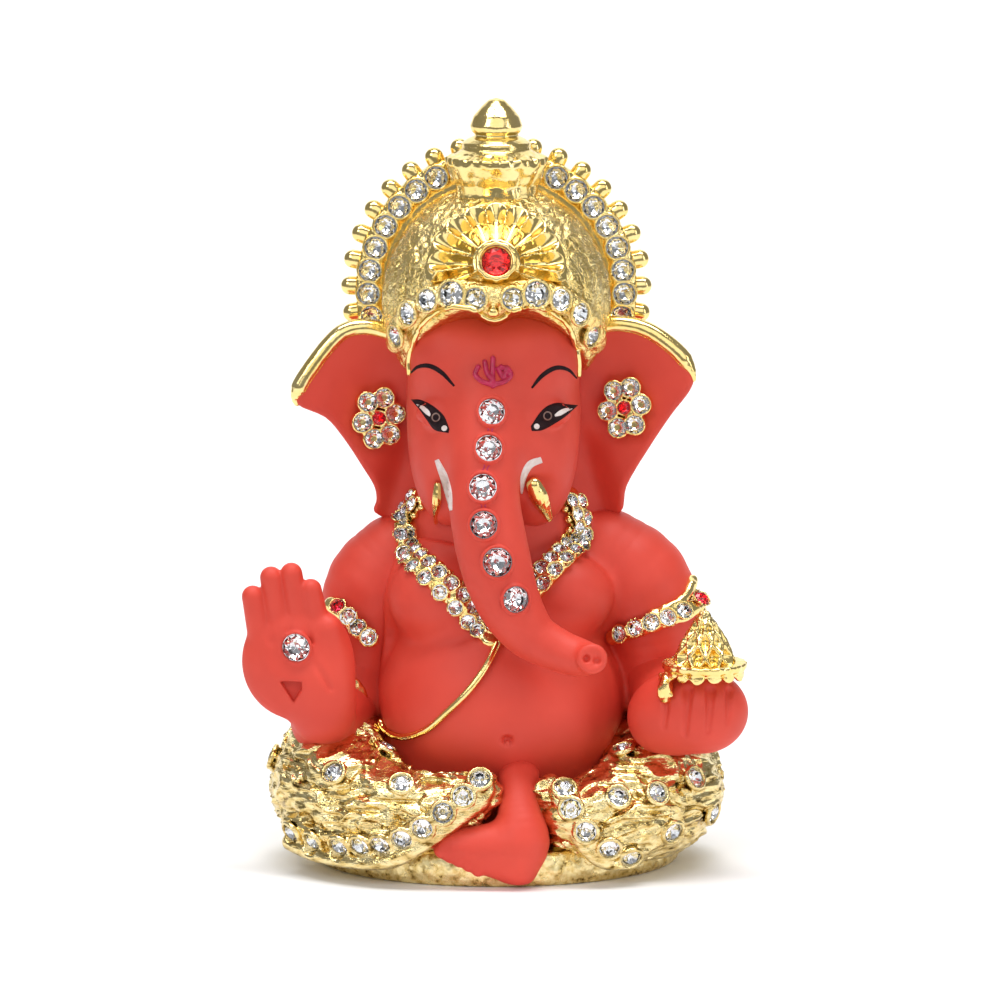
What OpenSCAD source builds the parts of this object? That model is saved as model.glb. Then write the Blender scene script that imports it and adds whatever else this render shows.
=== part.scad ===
// Seated elephant-headed devotional figure: cast sections, gilt trim and set stones.
// The front faces -Y, +Z is up, and the origin is the centre of the footprint. Millimetres.

/* [Figure] */
// Overall height of the figure, from the base to the tip of the crown
figure_h = 80; // [40:1:240]
// Width of the belly
belly_w = 25.2; // [22:0.1:26]
// Thickness of the bent knees inside the dhoti
knee_d = 14; // [12:0.1:14.8]

/* [Crown] */
// Diameter of the crown's dome
dome_d = 23.6; // [23:0.1:24.2]
// Diameter of the halo plate, without its rim of beads
halo_d = 29.6; // [29.2:0.1:31]
// Thickness of the halo plate
halo_t = 2.4; // [2:0.1:3]
// Number of beads on the halo's rim
halo_beads_n = 20; // [14:1:22]
// Diameter of one rim bead
halo_bead_d = 1.7; // [1.2:0.1:1.9]
// Number of petals round the crown's red stone
sunburst_petals = 13; // [9:1:15]

/* [Stones] */
// Diameter of the small clear stones
small_stone_d = 2.1; // [1.6:0.1:2.3]
// Diameter of the large clear stones on the trunk and palm
large_stone_d = 2.8; // [2.4:0.1:3.1]
// Diameter of the red stone on the crown
ruby_d = 3.2; // [2.4:0.1:3.6]
// Diameter of an earring's petal stones
petal_stone_d = 1.6; // [1.2:0.1:1.9]
// Gap between a stone and the wall of its seat
seat_gap = 0.06; // [0.04:0.01:0.1]

/* [Base] */
// Width of the oval base
base_w = 38; // [36:1:42]
// Depth of the oval base
base_d = 31; // [29:1:33]
// Height of the oval base
base_h = 3.6; // [3:0.1:4.5]
// Bevel round the base's lower edge
base_bevel = 0.6; // [0.2:0.1:1]

/* [Hidden] */

nominal_h = 80;      // height at which the dimensions below are stated
footprint_c = [0.08, -1.51, 0]; // centre of the whole figure's outline as the places below are given
red = [0.85, 0.27, 0.20];
gold = [0.93, 0.76, 0.33];
clear = [0.86, 0.88, 0.90];
ruby = [0.72, 0.05, 0.14];
body_fn = 18;        // facets round the masses of the body
limb_fn = 14;        // facets round a limb
trim_fn = 8;         // facets round a thin line of trim
cut_fn = 48;         // facets of a curved face that another piece sits on
back_share = 0.28;   // depth of a stone's back, as a share of its diameter
rise_share = 0.24;   // height of a stone's faceted top
seat_slack = 0.02;   // gap under a stone
elbow_gap_at = [-12.8, 5.8, 21.1]; // behind the right arm, where the forearm's end would leave a crumb
elbow_gap = [0.8, 0.6, 0.6];

// Named places: centres and radii of the masses, and [x, y, z, radius] stations of the limbs.
belly_r = [belly_w / 2, 11.4, 11.4];
belly_c = [0.4, 0, 16.6];
chest_c = [0.8, 1.4, 27.5];
chest_r = [13.2, 9.0, 8.6];
hips_c = [0, 3.0, 8.5];
hips_r = [15, 10.5, 7];
neck_c = [0.2, 1.5, 35.5];
neck_r = [9.5, 7.4, 6.5];
skull_c = [-0.1, -0.2, 48.3];
skull_r = [9.2, 9.8, 12];
cheek_c = [4.0, -3.6, 44];
cheek_r = [4.6, 5.2, 6.4];
dome_r = dome_d / 2;
dome_c = [0, 0.8, 59];
halo_r = halo_d / 2;
halo_c = [0, 3.6, 59.8];
halo_front = halo_c.y - halo_t / 2;
halo_stone_r = 13.4;
trunk = [[-0.6, -7.9, 51, 3.0], [-1.0, -10.0, 44, 3.3], [-0.9, -11.4, 38.6, 3.7], [0.0, -12.3, 33.5, 3.8],
    [1.6, -12.8, 28.7, 3.5], [4.0, -13.1, 25.3, 3.0], [6.9, -13.4, 23.5, 2.5], [9.0, -14.0, 23.0, 2.0],
    [9.9, -15.2, 23.0, 1.9]];
right_leg_line = [[-9, 5, 8.2, 7.4], [-16.4, -4.2, 8.6, knee_d / 2], [-10.2, -11.4, 6.6, 5.0], [-2.4, -13.6, 8.0, 2.6]];
left_leg_line = [[9, 5, 8.2, 7.4], [16.4, -4.2, 8.3, knee_d / 2], [11.0, -11.0, 6.4, 4.9], [5.6, -12.9, 7.4, 2.6]];
foot_line = [[2.2, -13.4, 8.4, 1.9], [1.6, -15.0, 4.6, 3.0], [2.6, -15.6, 2.6, 2.0]];
toes_at = [-5.0, -14.8, 3.0];
right_arm_line = [[-11.8, 2.2, 30, 5.4], [-14.4, 2.6, 22.5, 4.3], [-15.4, 1.0, 18.5, 3.8], [-18.4, -5.6, 16.8, 3.4]];
left_arm_line = [[14.2, 2.2, 30, 5.8], [17.0, 2.2, 23, 4.6], [17.6, 0.2, 18.5, 4.1], [19.6, -7.4, 16.8, 3.8]];
elbow_at = 0.92;     // station where the forearm takes over from the torso casting, under the armlet
wrist_at = 2.55;     // station of the right bracelet
palm_c = [-20.4, -8.2, 21.4];
palm_r = [5.4, 2.6, 6.8];
fist_c = [20.6, -10.8, 16.8];
modak_c = [21.4, -11.4, 21.2];
ear_y = 1.2;
ear_t = 1.7;
ear_turn = 14;       // how far the outer edge of an ear swings forward
earring_at = [12.8, 47.0];
petal_ring_r = 2.1;

// ---- helpers ----
function unit(v) = v / norm(v);
function xyz(s) = [s[0], s[1], s[2]];
function mix(a, b, f) = a * (1 - f) + b * f;
function station(line, t) = let (i = min(floor(t), len(line) - 2)) mix(line[i], line[i + 1], t - i);
function compass(az, el) = [sin(az) * cos(el), -cos(az) * cos(el), sin(el)];
function on_ball(c, r, az, el) = let (d = compass(az, el)) [c.x + r.x * d.x, c.y + r.y * d.y, c.z + r.z * d.z];
function off_ball(r, az, el) = let (d = compass(az, el)) unit([d.x / r.x, d.y / r.y, d.z / r.z]);
function on_limb(line, t, az, el) = let (s = station(line, t)) xyz(s) + s[3] * compass(az, el);
// Front face of an ellipsoid above the point x, z, and the direction it faces there
function front_y(c, r, x, z) = c.y - r.y * sqrt(max(0, 1 - pow((x - c.x) / r.x, 2) - pow((z - c.z) / r.z, 2)));

module finish(colour) color(colour) scale(figure_h / nominal_h) translate(-footprint_c) children();
module aim(p, n) translate(p) rotate([0, acos(n.z / norm(n)), atan2(n.y, n.x)]) children();
module ball(c, r, fn = body_fn) hull() translate(c) scale(r) sphere(1, $fn = fn);
module station_ball(s, fn) translate(xyz(s)) sphere(s[3], $fn = fn);
module limb(line, fn = limb_fn) for (i = [0:len(line) - 2]) hull() {
    station_ball(line[i], fn);
    station_ball(line[i + 1], fn);
}
// The stretch of a limb between stations a and b
module limb_part(line, a, b, fn, steps) for (i = [0:steps - 1]) hull() {
    station_ball(station(line, mix(a, b, i / steps)), fn);
    station_ball(station(line, mix(a, b, (i + 1) / steps)), fn);
}
module bead_line(points, r, fn = trim_fn) for (i = [0:len(points) - 2]) hull() {
    translate(points[i]) sphere(r, $fn = fn);
    translate(points[i + 1]) sphere(r, $fn = fn);
}
module finger(a, b, r) hull() {
    translate(a) sphere(r, $fn = 10);
    translate(b) sphere(r * 0.86, $fn = 10);
}

// ---- stones: each place is [point, outward direction, diameter] ----
module stone(d) rotate_extrude($fn = 24)
    polygon([[0, -back_share * d], [d / 2, -back_share * d], [d / 2, 0], [d * 0.3, rise_share * d], [0, rise_share * d]]);
module seat(d) translate([0, 0, -back_share * d - seat_slack]) cylinder(h = 1.4 * d, d = d + 2 * seat_gap, $fn = 24);
module rough_seat(d) translate([0, 0, -back_share * d - seat_slack])
    cylinder(h = 1.4 * d, r = (d / 2 + seat_gap) / cos(18), $fn = 10);
module stones(places) for (p = places) aim(p[0], p[1]) stone(p[2]);
module seats(places) for (p = places) aim(p[0], p[1]) seat(p[2]);
module rough_seats(places) for (p = places) aim(p[0], p[1]) rough_seat(p[2]);

trunk_places = [for (t = [0.35, 0.95, 1.6, 2.3, 3.02, 3.75]) let (s = station(trunk, t), lean = -6 + 3 * t)
    [xyz(s) + (s[3] - 0.15) * compass(lean, 2), compass(lean, 2), large_stone_d]];
band_angles = [-74, -57, -41, -26, -9.5, 9.5, 26, 41, 57, 74];
function band_el(az) = 13 - 40 * pow(abs(az) / 74, 2.4) - 4 * pow(1 - min(abs(az), 26) / 26, 2);
dome_box = [dome_r, dome_r, dome_r];
band_places = [for (az = band_angles)
    [on_ball(dome_c, dome_box, az, band_el(az)), off_ball(dome_box, az, band_el(az)), small_stone_d]];
halo_angles = [for (side = [-1, 1]) for (i = [0:7]) side * (28 + 10.6 * i)];
halo_places = [for (a = halo_angles)
    [[halo_c.x + halo_stone_r * sin(a), halo_front, halo_c.z + halo_stone_r * cos(a)], [0, -1, 0], small_stone_d]];
ruby_el = 28;
ruby_places = [[on_ball(dome_c, dome_box * 1.07, -1, ruby_el), off_ball(dome_box, -1, ruby_el), ruby_d]];
palm_places = [[[palm_c.x, palm_c.y - palm_r.y + 0.25, palm_c.z + 0.6], [0, -1, 0], large_stone_d]];
armlet_grow = 0.7;
function armlet_places(line, angles, d, lift) = [for (a = angles) let (s = station(line, elbow_at))
    [xyz(s) + (s[3] + armlet_grow + lift) * compass(a, -6), compass(a, -6), d]];
right_armlet_places = armlet_places(right_arm_line, [-42, -15, 12], small_stone_d, 0);
left_armlet_places = armlet_places(left_arm_line, [-54, -29, -4, 21], small_stone_d, 0);
right_ruby_places = armlet_places(right_arm_line, [36], 1.7, 0.2);
left_ruby_places = armlet_places(left_arm_line, [66], 1.7, 0.2);

// Necklace: half widths at falling heights; it wraps the neck above and meets in a V low on the chest
necklace_path = [[8.2, 38.4], [9.1, 35.6], [8.7, 33.0], [7.2, 30.7], [5.2, 28.9], [3.2, 27.2], [1.4, 25.6]];
function chest_point(x, z) = let (a = front_y(chest_c, chest_r, x, z), b = front_y(neck_c, neck_r, x, z),
    c = front_y(belly_c, belly_r, x, z)) [x, min(a, b, c) - 0.9, z];
function necklace_side(side) = [for (p = necklace_path) chest_point(chest_c.x - 0.6 + side * p[0], p[1])];
function necklace_t(side, i) = station(necklace_side(side), i);
necklace_places = [for (side = [-1, 1]) for (i = [0:7]) let (p = necklace_t(side, 0.35 + i * 0.8))
    [p + [0, -0.55, 0], unit([p.x - chest_c.x, -14, 5]), 1.7]];

// Dhoti stones as [station, azimuth, elevation]: a scatter over each knee and a row along each lower edge
right_scatter = [[0.80, -50, 52], [1.05, -66, 8], [1.15, -28, 28], [1.75, -8, 34], [0.55, -22, 74]];
left_scatter = [[0.95, 60, 14], [1.05, 28, 30], [1.40, 4, 44], [1.62, 16, 14], [0.70, 26, 62], [0.92, 72, -22]];
right_border = [for (i = [0:9]) [1.02 + 0.19 * i, -50 + 6.6 * i, -36 + 4.4 * i]];
left_border = [for (i = [0:4]) [2.75 - 0.26 * i, -4 + 6 * i, 4 - 11 * i]];
function dhoti_places(line, spots) = [for (s = spots) [on_limb(line, s[0], s[1], s[2]), compass(s[1], s[2]), small_stone_d]];
right_dhoti_places = dhoti_places(right_leg_line, concat(right_scatter, right_border));
left_dhoti_places = dhoti_places(left_leg_line, concat(left_scatter, left_border));

// ---- forms, before they are cut back from each other ----
base_outline = [for (a = [0:7.5:359]) [base_w / 2 * cos(a), -0.6 + base_d / 2 * sin(a)]];
module base_form() {
    linear_extrude(base_bevel, scale = 1) polygon(base_outline * 0.97);
    translate([0, 0, base_bevel]) linear_extrude(base_h - base_bevel) polygon(base_outline);
}
module below_base_top() translate([-40, -40, -20]) cube([80, 80, 20.3]);
module torso_form() {
    ball(belly_c, belly_r, 20);
    ball(chest_c, chest_r);
    ball(hips_c, hips_r, 16);
    ball(neck_c, neck_r, 16);
    for (line = [right_arm_line, left_arm_line]) limb_part(line, 0, elbow_at, limb_fn, 2);
}
module skull_form() ball(skull_c, skull_r, 22);
module head_form() {
    skull_form();
    for (side = [-1, 1]) ball([side * cheek_c.x + skull_c.x, cheek_c.y, cheek_c.z], cheek_r, 12);
    limb(trunk);
}
module dome_form() translate(dome_c) sphere(dome_r, $fn = cut_fn);
// Everything above the sloping edge of the crown: high over the brow, low at the nape
module above_brow() translate([0, -11, 58.4]) rotate([-30, 0, 0]) translate([-20, -10, 0]) cube([40, 45, 40]);
hairline_points = [[9.0, 50.4], [8.6, 53.2], [6.8, 56.4], [4.0, 58.2], [1.6, 57.7], [0, 57.0]];
hairline = concat([for (p = hairline_points) [-p[0], p[1]]], [for (i = [4:-1:0]) hairline_points[i]]);
module trim_form() bead_line([for (p = hairline)
    [p[0], front_y(skull_c, skull_r + [0.4, 0.4, 0.4], p[0] - 0.05, p[1]), p[1]]], 0.5);
module sunburst_form() for (i = [0:sunburst_petals - 1])
    let (a = -108 + 216 * i / (sunburst_petals - 1), from = 14, to = 33) hull() {
        translate(on_ball(dome_c, dome_box, -1 + from * sin(a), ruby_el + from * cos(a))) sphere(0.55, $fn = 8);
        translate(on_ball(dome_c, dome_box, -1 + to * sin(a) * 1.15, ruby_el + to * cos(a))) sphere(0.8, $fn = 8);
    }
module bezel_form() for (p = ruby_places) aim(p[0] - p[1] * 1.0, p[1]) cylinder(d = ruby_d + 1.2, h = 1.3, $fn = 32);
module halo_form() translate([halo_c.x, halo_front, halo_c.z]) rotate([-90, 0, 0]) cylinder(d = halo_d, h = halo_t, $fn = 64);
module ear_outline() polygon([[6.5, 53.5], [9.6, 54.6], [13.5, 55.0], [16.6, 53.4], [18.8, 51.0], [20.4, 48.6], [20.2, 47.2],
    [18.2, 45.6], [16.4, 43.2], [14.4, 39.8], [13.0, 37.2], [12.4, 36.1], [10.3, 36.5], [8.6, 39.5], [5.5, 44]]);
module ear_form(side) scale([side, 1, 1]) translate([8.5, ear_y + ear_t / 2, 0]) rotate([0, 0, -ear_turn])
    translate([-8.5, 0, 0]) rotate([90, 0, 0]) linear_extrude(ear_t) ear_outline();
function ear_point(side, x, z) = [side * (8.5 + (x - 8.5) * cos(ear_turn)), ear_y - (x - 8.5) * sin(ear_turn), z];
rim_points = [[9.8, 54.7], [11.6, 55.3], [13.6, 55.2], [16.8, 53.6], [19.0, 51.1], [20.5, 48.6], [20.3, 47.6]];
module rim_form(side) bead_line([for (p = rim_points) ear_point(side, p[0], p[1]) - [0, 0.17, 0.03]], 1.05, 9);
module tusk_form(side) limb([for (s = [[4.6, -8.2, 42.2, 1.2], [4.9, -9.8, 40, 1.0], [5.4, -10.8, 37.6, 0.4]])
    [side * s[0] - 0.6, s[1], s[2], s[3]]], 10);
module tilak_form() for (x = [-1.2, 0, 1.2]) hull() for (end = [[x, 54.3 - 0.4 * (1 - abs(x))], [0, 52.3]])
    translate([end[0] - 0.4, -8.9, end[1]]) rotate([90, 0, 0]) cylinder(r = 0.4, h = 1.3, $fn = 8);
module drape_form() intersection() {
    union() {
        ball(belly_c - [0.6, 0, 0], belly_r + [1, 1, 1], 20);
        ball(chest_c, chest_r + [1, 1, 1]);
    }
    hull() for (s = [[-9.4, -13, 15.2, 2.4], [-4.2, -14, 19.6, 2.6], [-9.5, -12, 27, 5], [-9.6, -4, 16.6, 3.4], [-9.5, -4, 28, 4]])
        station_ball(s, 12);
}
border_angles = [[1, 30], [-4, 20], [-12, 8], [-24, -5], [-40, -12], [-58, -10]];
module border_form() bead_line([for (a = border_angles) on_ball(belly_c, belly_r + [1.3, 1.3, 1.3], a[0], a[1])], 0.45);
module armlet_form(line) band_form(line, elbow_at, armlet_grow, 2.3);
module bracelet_form() band_form(right_arm_line, wrist_at, 0.6, 1.4);
module band_form(line, t, grow, width)
    let (s = station(line, t), way = unit(xyz(station(line, t + 0.02)) - xyz(station(line, t - 0.02))))
        aim(xyz(s) - way * width / 2, way) difference() {
            cylinder(r = s[3] + grow, h = width, $fn = 32);
            translate([0, 0, -1]) cylinder(r = s[3] - 0.8, h = width + 2, $fn = 32);
        }
module right_forearm_form() {
    limb_part(right_arm_line, elbow_at, 3, 12, 4);
    ball(palm_c, palm_r, 16);
    finger([-18.8, -7.2, 16], [-20.2, -8.2, 20], 3.3);
    for (i = [0:3]) finger([-23.6 + 2.3 * i, -8, 25.2], [-24.6 + 2.3 * i, -8.2, 28.6 + [0, 1.7, 2.1, 1.3][i]], 1.45);
    finger([-16.8, -8.6, 19.6], [-16.6, -9.0, 25.6], 1.5);
}
module left_forearm_form() {
    limb_part(left_arm_line, elbow_at, 3, 12, 4);
    ball(fist_c, [5.1, 3.4, 4.6], 16);
    for (i = [0:3]) finger([17.6 + 2.35 * i, -13.6 + 0.2 * i * i, 19.2], [17.8 + 2.25 * i, -13.4 + 0.2 * i * i, 14.4], 1.35);
    finger([15.9, -12.6, 18.4], [16.2, -12.4, 14.8], 1.4);
}
module modak_plate_form() translate(modak_c) rotate_extrude($fn = cut_fn)
    polygon([[0, 0], [3.8, 0], [4.2, 0.35], [4.2, 0.7], [3.9, 0.8], [0, 0.8]]);
module modak_form() translate(modak_c + [0, 0, 0.8]) rotate_extrude($fn = cut_fn)
    polygon([[0, 0], [3.3, 0], [3.3, 0.8], [2.9, 2.2], [2.1, 3.8], [1.2, 5.0], [0.7, 5.4], [0, 5.5]]);
module finial_form() translate([0, dome_c.y, 68.4]) rotate_extrude($fn = cut_fn)
    polygon([[0, 0], [3.6, 0], [3.4, 1.6], [4.2, 3.2], [5.1, 4.9], [5.2, 5.6], [3.5, 6.3], [3.5, 7.2], [2.0, 7.8],
        [2.0, 8.2], [2.6, 8.8], [2.2, 9.8], [0.9, 11.4], [0, 11.6]]);
module necklace_form() {
    for (side = [-1, 1]) {
        bead_line(necklace_side(side), 1.15, 8);
        for (i = [0:6]) let (p = necklace_t(side, 0.4 + i * 0.85)) translate(p + unit([p.x - chest_c.x, 0, -4]) * 1.25)
            sphere(0.6, $fn = 6);
    }
    finger(chest_point(-1.4, 25.6), chest_point(1.4, 25.6), 1.15);
}
module earring_seat(side) aim(ear_point(side, earring_at[0], earring_at[1]) - [0, ear_t / 2 - 0.1, 0],
    [-side * sin(ear_turn), -cos(ear_turn), 0]) children();
module earring_form(side) earring_seat(side) {
    cylinder(d = 3, h = 0.5, $fn = 24);
    for (a = [0:60:300]) rotate(a) translate([petal_ring_r, 0, 0]) cylinder(d = petal_stone_d + 0.5, h = 0.5, $fn = 24);
}

// ---- legs, body and arms ----
module base() finish(gold) base_form();
module right_leg() finish(gold) difference() {
    limb(right_leg_line, 16);
    base_form();
    rough_seats(right_dhoti_places);
}
module left_leg() finish(gold) difference() {
    limb(left_leg_line, 16);
    limb(right_leg_line, 16);
    base_form();
    rough_seats(left_dhoti_places);
}
module foot() finish(red) difference() {
    union() {
        limb(foot_line);
        hull() {
            translate(toes_at) sphere(1.5, $fn = 12);
            translate([1.2, -15.0, 3.6]) sphere(2.3, $fn = 12);
        }
        for (i = [0:4]) ball(toes_at + [1.25 * i - 0.8, -1.2 - 0.15 * i, -0.6 - 0.1 * i], [0.8, 0.8, 0.8], 8);
    }
    limb(right_leg_line, 16);
    limb(left_leg_line, 16);
    base_form();
    below_base_top();
}
module torso() finish(red) difference() {
    torso_form();
    limb(right_leg_line, 16);
    limb(left_leg_line, 16);
    base_form();
    head_form();
}
module chest_drape() finish(red) difference() {
    drape_form();
    torso_form();
    necklace_form();
    border_form();
    limb(right_leg_line, 16);
    armlet_form(right_arm_line);
    right_forearm_form();
}
module drape_border() finish(gold) difference() {
    border_form();
    torso_form();
    necklace_form();
    limb(right_leg_line, 16);
    head_form();
}
module forearm(side) finish(red) difference() {
    if (side < 0) right_forearm_form(); else left_forearm_form();
    torso_form();
    limb(side < 0 ? right_leg_line : left_leg_line, 16);
    armlet_form(side < 0 ? right_arm_line : left_arm_line);
    if (side < 0) {
        bracelet_form();
        rough_seats(palm_places);
        translate(elbow_gap_at) cube(elbow_gap);
    } else {
        modak_plate_form();
        modak_form();
    }
}
module right_forearm() forearm(-1);
module left_forearm() forearm(1);
module right_armlet() finish(gold) difference() {
    armlet_form(right_arm_line);
    torso_form();
    rough_seats(right_armlet_places);
    rough_seats(right_ruby_places);
}
module left_armlet() finish(gold) difference() {
    armlet_form(left_arm_line);
    torso_form();
    rough_seats(left_armlet_places);
    rough_seats(left_ruby_places);
}
module right_bracelet() finish(gold) difference() {
    bracelet_form();
    torso_form();
    limb(right_leg_line, 16);
}
module modak_plate() finish(gold) modak_plate_form();
module modak() finish(gold) modak_form();
module necklace() finish(gold) difference() {
    necklace_form();
    torso_form();
    head_form();
    rough_seats(necklace_places);
}

// ---- head ----
module head() finish(red) difference() {
    head_form();
    rough_seats(trunk_places);
    for (side = [-1, 1]) {
        tusk_form(side);
        ear_form(side);
    }
    tilak_form();
    trim_form();
}
module tilak() finish([0.7, 0.1, 0.3]) tilak_form();
module right_tusk() finish(gold) tusk_form(-1);
module left_tusk() finish(gold) tusk_form(1);
module ear(side) finish(red) difference() {
    ear_form(side);
    dome_form();
    earring_form(side);
}
module right_ear() ear(-1);
module left_ear() ear(1);
module ear_rim(side) finish(gold) difference() {
    rim_form(side);
    ear_form(side);
    head_form();
    dome_form();
}
module right_ear_rim() ear_rim(-1);
module left_ear_rim() ear_rim(1);
module earring_setting(side) finish(gold) earring_form(side);
module right_earring_setting() earring_setting(-1);
module left_earring_setting() earring_setting(1);

// ---- crown ----
module crown_dome() finish(gold) difference() {
    intersection() {
        dome_form();
        above_brow();
    }
    skull_form();
    trim_form();
    seats(band_places);
    bezel_form();
}
module crown_trim() finish(gold) trim_form();
module crown_sunburst() finish(gold) difference() {
    sunburst_form();
    dome_form();
    bezel_form();
    rough_seats(band_places);
}
module ruby_bezel() finish(gold) difference() {
    bezel_form();
    seats(ruby_places);
}
module crown_halo() finish(gold) difference() {
    halo_form();
    dome_form();
    finial_form();
    skull_form();
    translate([-30, -20, 30]) cube([60, 40, halo_c.z - 5 - 30]);
    seats(halo_places);
}
module halo_beads() finish(gold) {
    reach = halo_r + halo_bead_d / 2; // the beads rest on the rim
    for (i = [0:halo_beads_n - 1]) let (a = -108 + 216 * i / (halo_beads_n - 1))
        if (abs(a) > 14) translate([halo_c.x + reach * sin(a), halo_c.y, halo_c.z + reach * cos(a)])
            sphere(d = halo_bead_d, $fn = 20);
}
module crown_finial() finish(gold) difference() {
    finial_form();
    dome_form();
}

// ---- stones ----
module crown_ruby() finish(ruby) stones(ruby_places);
module crown_band_stones() finish(clear) stones(band_places);
module halo_stones() finish(clear) stones(halo_places);
module trunk_stones() finish(clear) stones(trunk_places);
module necklace_stones() finish(clear) stones(necklace_places);
module palm_stone() finish(clear) stones(palm_places);
module right_armlet_stones() finish(clear) stones(right_armlet_places);
module left_armlet_stones() finish(clear) stones(left_armlet_places);
module armlet_rubies() finish(ruby) stones(concat(right_ruby_places, left_ruby_places));
module right_dhoti_stones() finish(clear) stones(right_dhoti_places);
module left_dhoti_stones() finish(clear) stones(left_dhoti_places);
module earring_stones(side) finish(clear) earring_seat(side) for (a = [0:60:300])
    rotate(a) translate([petal_ring_r, 0, 0.5 + back_share * petal_stone_d]) stone(petal_stone_d);
module right_earring_stones() earring_stones(-1);
module left_earring_stones() earring_stones(1);
module earring_rubies() finish(ruby) for (side = [-1, 1]) earring_seat(side)
    translate([0, 0, 0.5 + back_share * 1.5]) stone(1.5);

base();
right_leg();
left_leg();
foot();
torso();
chest_drape();
drape_border();
head();
tilak();
right_ear();
left_ear();
right_ear_rim();
left_ear_rim();
right_tusk();
left_tusk();
crown_dome();
crown_trim();
crown_sunburst();
ruby_bezel();
crown_halo();
halo_beads();
crown_finial();
right_forearm();
left_forearm();
right_armlet();
left_armlet();
right_bracelet();
modak_plate();
modak();
necklace();
crown_ruby();
crown_band_stones();
halo_stones();
trunk_stones();
necklace_stones();
palm_stone();
right_armlet_stones();
left_armlet_stones();
armlet_rubies();
right_dhoti_stones();
left_dhoti_stones();
right_earring_setting();
left_earring_setting();
right_earring_stones();
left_earring_stones();
earring_rubies();
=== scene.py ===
"""Looks for the seated elephant-headed figure, sculpted over its CAD frame.

The sculpted pieces are distance fields: a function gives how far each point is from the surface,
the field is sampled on a grid, and the grid is turned into a mesh. Places are in the drawing's own
millimetres, with the front facing -Y, and SHIFT and MM bring them into the row frame.
"""

import math
from functools import partial

import bpy
import numpy as np
import openvdb as vdb
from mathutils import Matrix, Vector


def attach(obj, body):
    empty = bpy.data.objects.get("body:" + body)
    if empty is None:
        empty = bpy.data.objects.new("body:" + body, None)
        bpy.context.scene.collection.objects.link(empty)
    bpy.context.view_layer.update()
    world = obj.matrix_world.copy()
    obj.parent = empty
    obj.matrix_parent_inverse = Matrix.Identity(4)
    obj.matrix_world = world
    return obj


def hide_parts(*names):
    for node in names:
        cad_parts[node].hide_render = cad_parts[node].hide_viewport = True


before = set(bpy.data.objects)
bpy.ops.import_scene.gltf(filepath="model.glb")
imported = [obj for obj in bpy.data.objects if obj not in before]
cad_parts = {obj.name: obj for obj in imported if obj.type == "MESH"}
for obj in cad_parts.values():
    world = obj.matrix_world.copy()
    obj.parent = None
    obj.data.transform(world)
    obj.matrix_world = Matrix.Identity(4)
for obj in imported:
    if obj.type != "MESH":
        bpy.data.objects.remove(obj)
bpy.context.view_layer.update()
bpy.context.scene.view_settings.view_transform = "Standard"

MM = 0.001
SHIFT = np.array([-0.08, 1.51, 0.0])  # from the drawing's coordinates to the row frame, in mm

# Grid steps, in mm
MEDIUM = 0.28  # broad masses
FINE = 0.22  # face, hands, drape and ears
CRINKLED = 0.19  # the dhoti's cloth
ORNAMENT = 0.20  # crown, halo and armlets
TRIM = 0.18  # borders, necklace and dish
FILIGREE = 0.16  # petals, sweets and earrings
SMALL = 0.14  # tusks and bezel
TINY = 0.12  # forehead mark


# ---------------------------------------------------------------- camera
CAMERA_DISTANCE = 0.62
CAMERA_TILT = math.radians(9)
CAMERA_AIM = (0.0003, 0.0, 0.0382)
PICTURE_WIDTH = 0.1045  # width of the view where the figure stands, in metres
SENSOR = 36.0


def add_camera():
    data = bpy.data.cameras.new("camera")
    camera = bpy.data.objects.new("camera", data)
    bpy.context.scene.collection.objects.link(camera)
    back = Vector((0.0, -math.cos(CAMERA_TILT), math.sin(CAMERA_TILT)))
    camera.location = Vector(CAMERA_AIM) + back * CAMERA_DISTANCE
    camera.rotation_euler = (math.pi / 2 - CAMERA_TILT, 0.0, 0.0)
    data.sensor_width = SENSOR
    data.lens = SENSOR * CAMERA_DISTANCE / PICTURE_WIDTH
    data.clip_start = 0.01
    data.clip_end = 10.0
    bpy.context.scene.camera = camera


add_camera()


# ---------------------------------------------------------------- distance fields
def column(v):
    return np.asarray(v, np.float32).reshape(3, 1)


def length(p):
    return np.sqrt((p * p).sum(axis=0))


def ellipsoid(p, centre, radii):
    q = (p - column(centre)) / column(radii)
    near = length(q)
    return near * (near - 1) / np.maximum(length(q / column(radii)), 1e-6)


def ball(p, centre, radius):
    return length(p - column(centre)) - radius


def tube(p, stations):
    """Distance to a tube through [x, y, z, radius] stations."""
    best = None
    for a, b in zip(stations[:-1], stations[1:]):
        way = column(b[:3]) - column(a[:3])
        t = np.clip(((p - column(a[:3])) * way).sum(axis=0) / max(float((way * way).sum()), 1e-9), 0, 1)
        d = length(p - column(a[:3]) - way * t) - (a[3] + (b[3] - a[3]) * t)
        best = d if best is None else np.minimum(best, d)
    return best


def capsule(p, a, b, radius, end_radius=None):
    return tube(p, [[*a, radius], [*b, radius if end_radius is None else end_radius]])


def join(a, b, soft):
    """Union whose seam is filled over about soft mm."""
    h = np.maximum(soft - np.abs(a - b), 0) / soft
    return np.minimum(a, b) - h * h * soft / 4


def cut(a, b, soft):
    """a without b, with the edge softened."""
    return -join(-a, b, soft)


def overlap(a, b, soft):
    return -join(-a, -b, soft)


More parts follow.
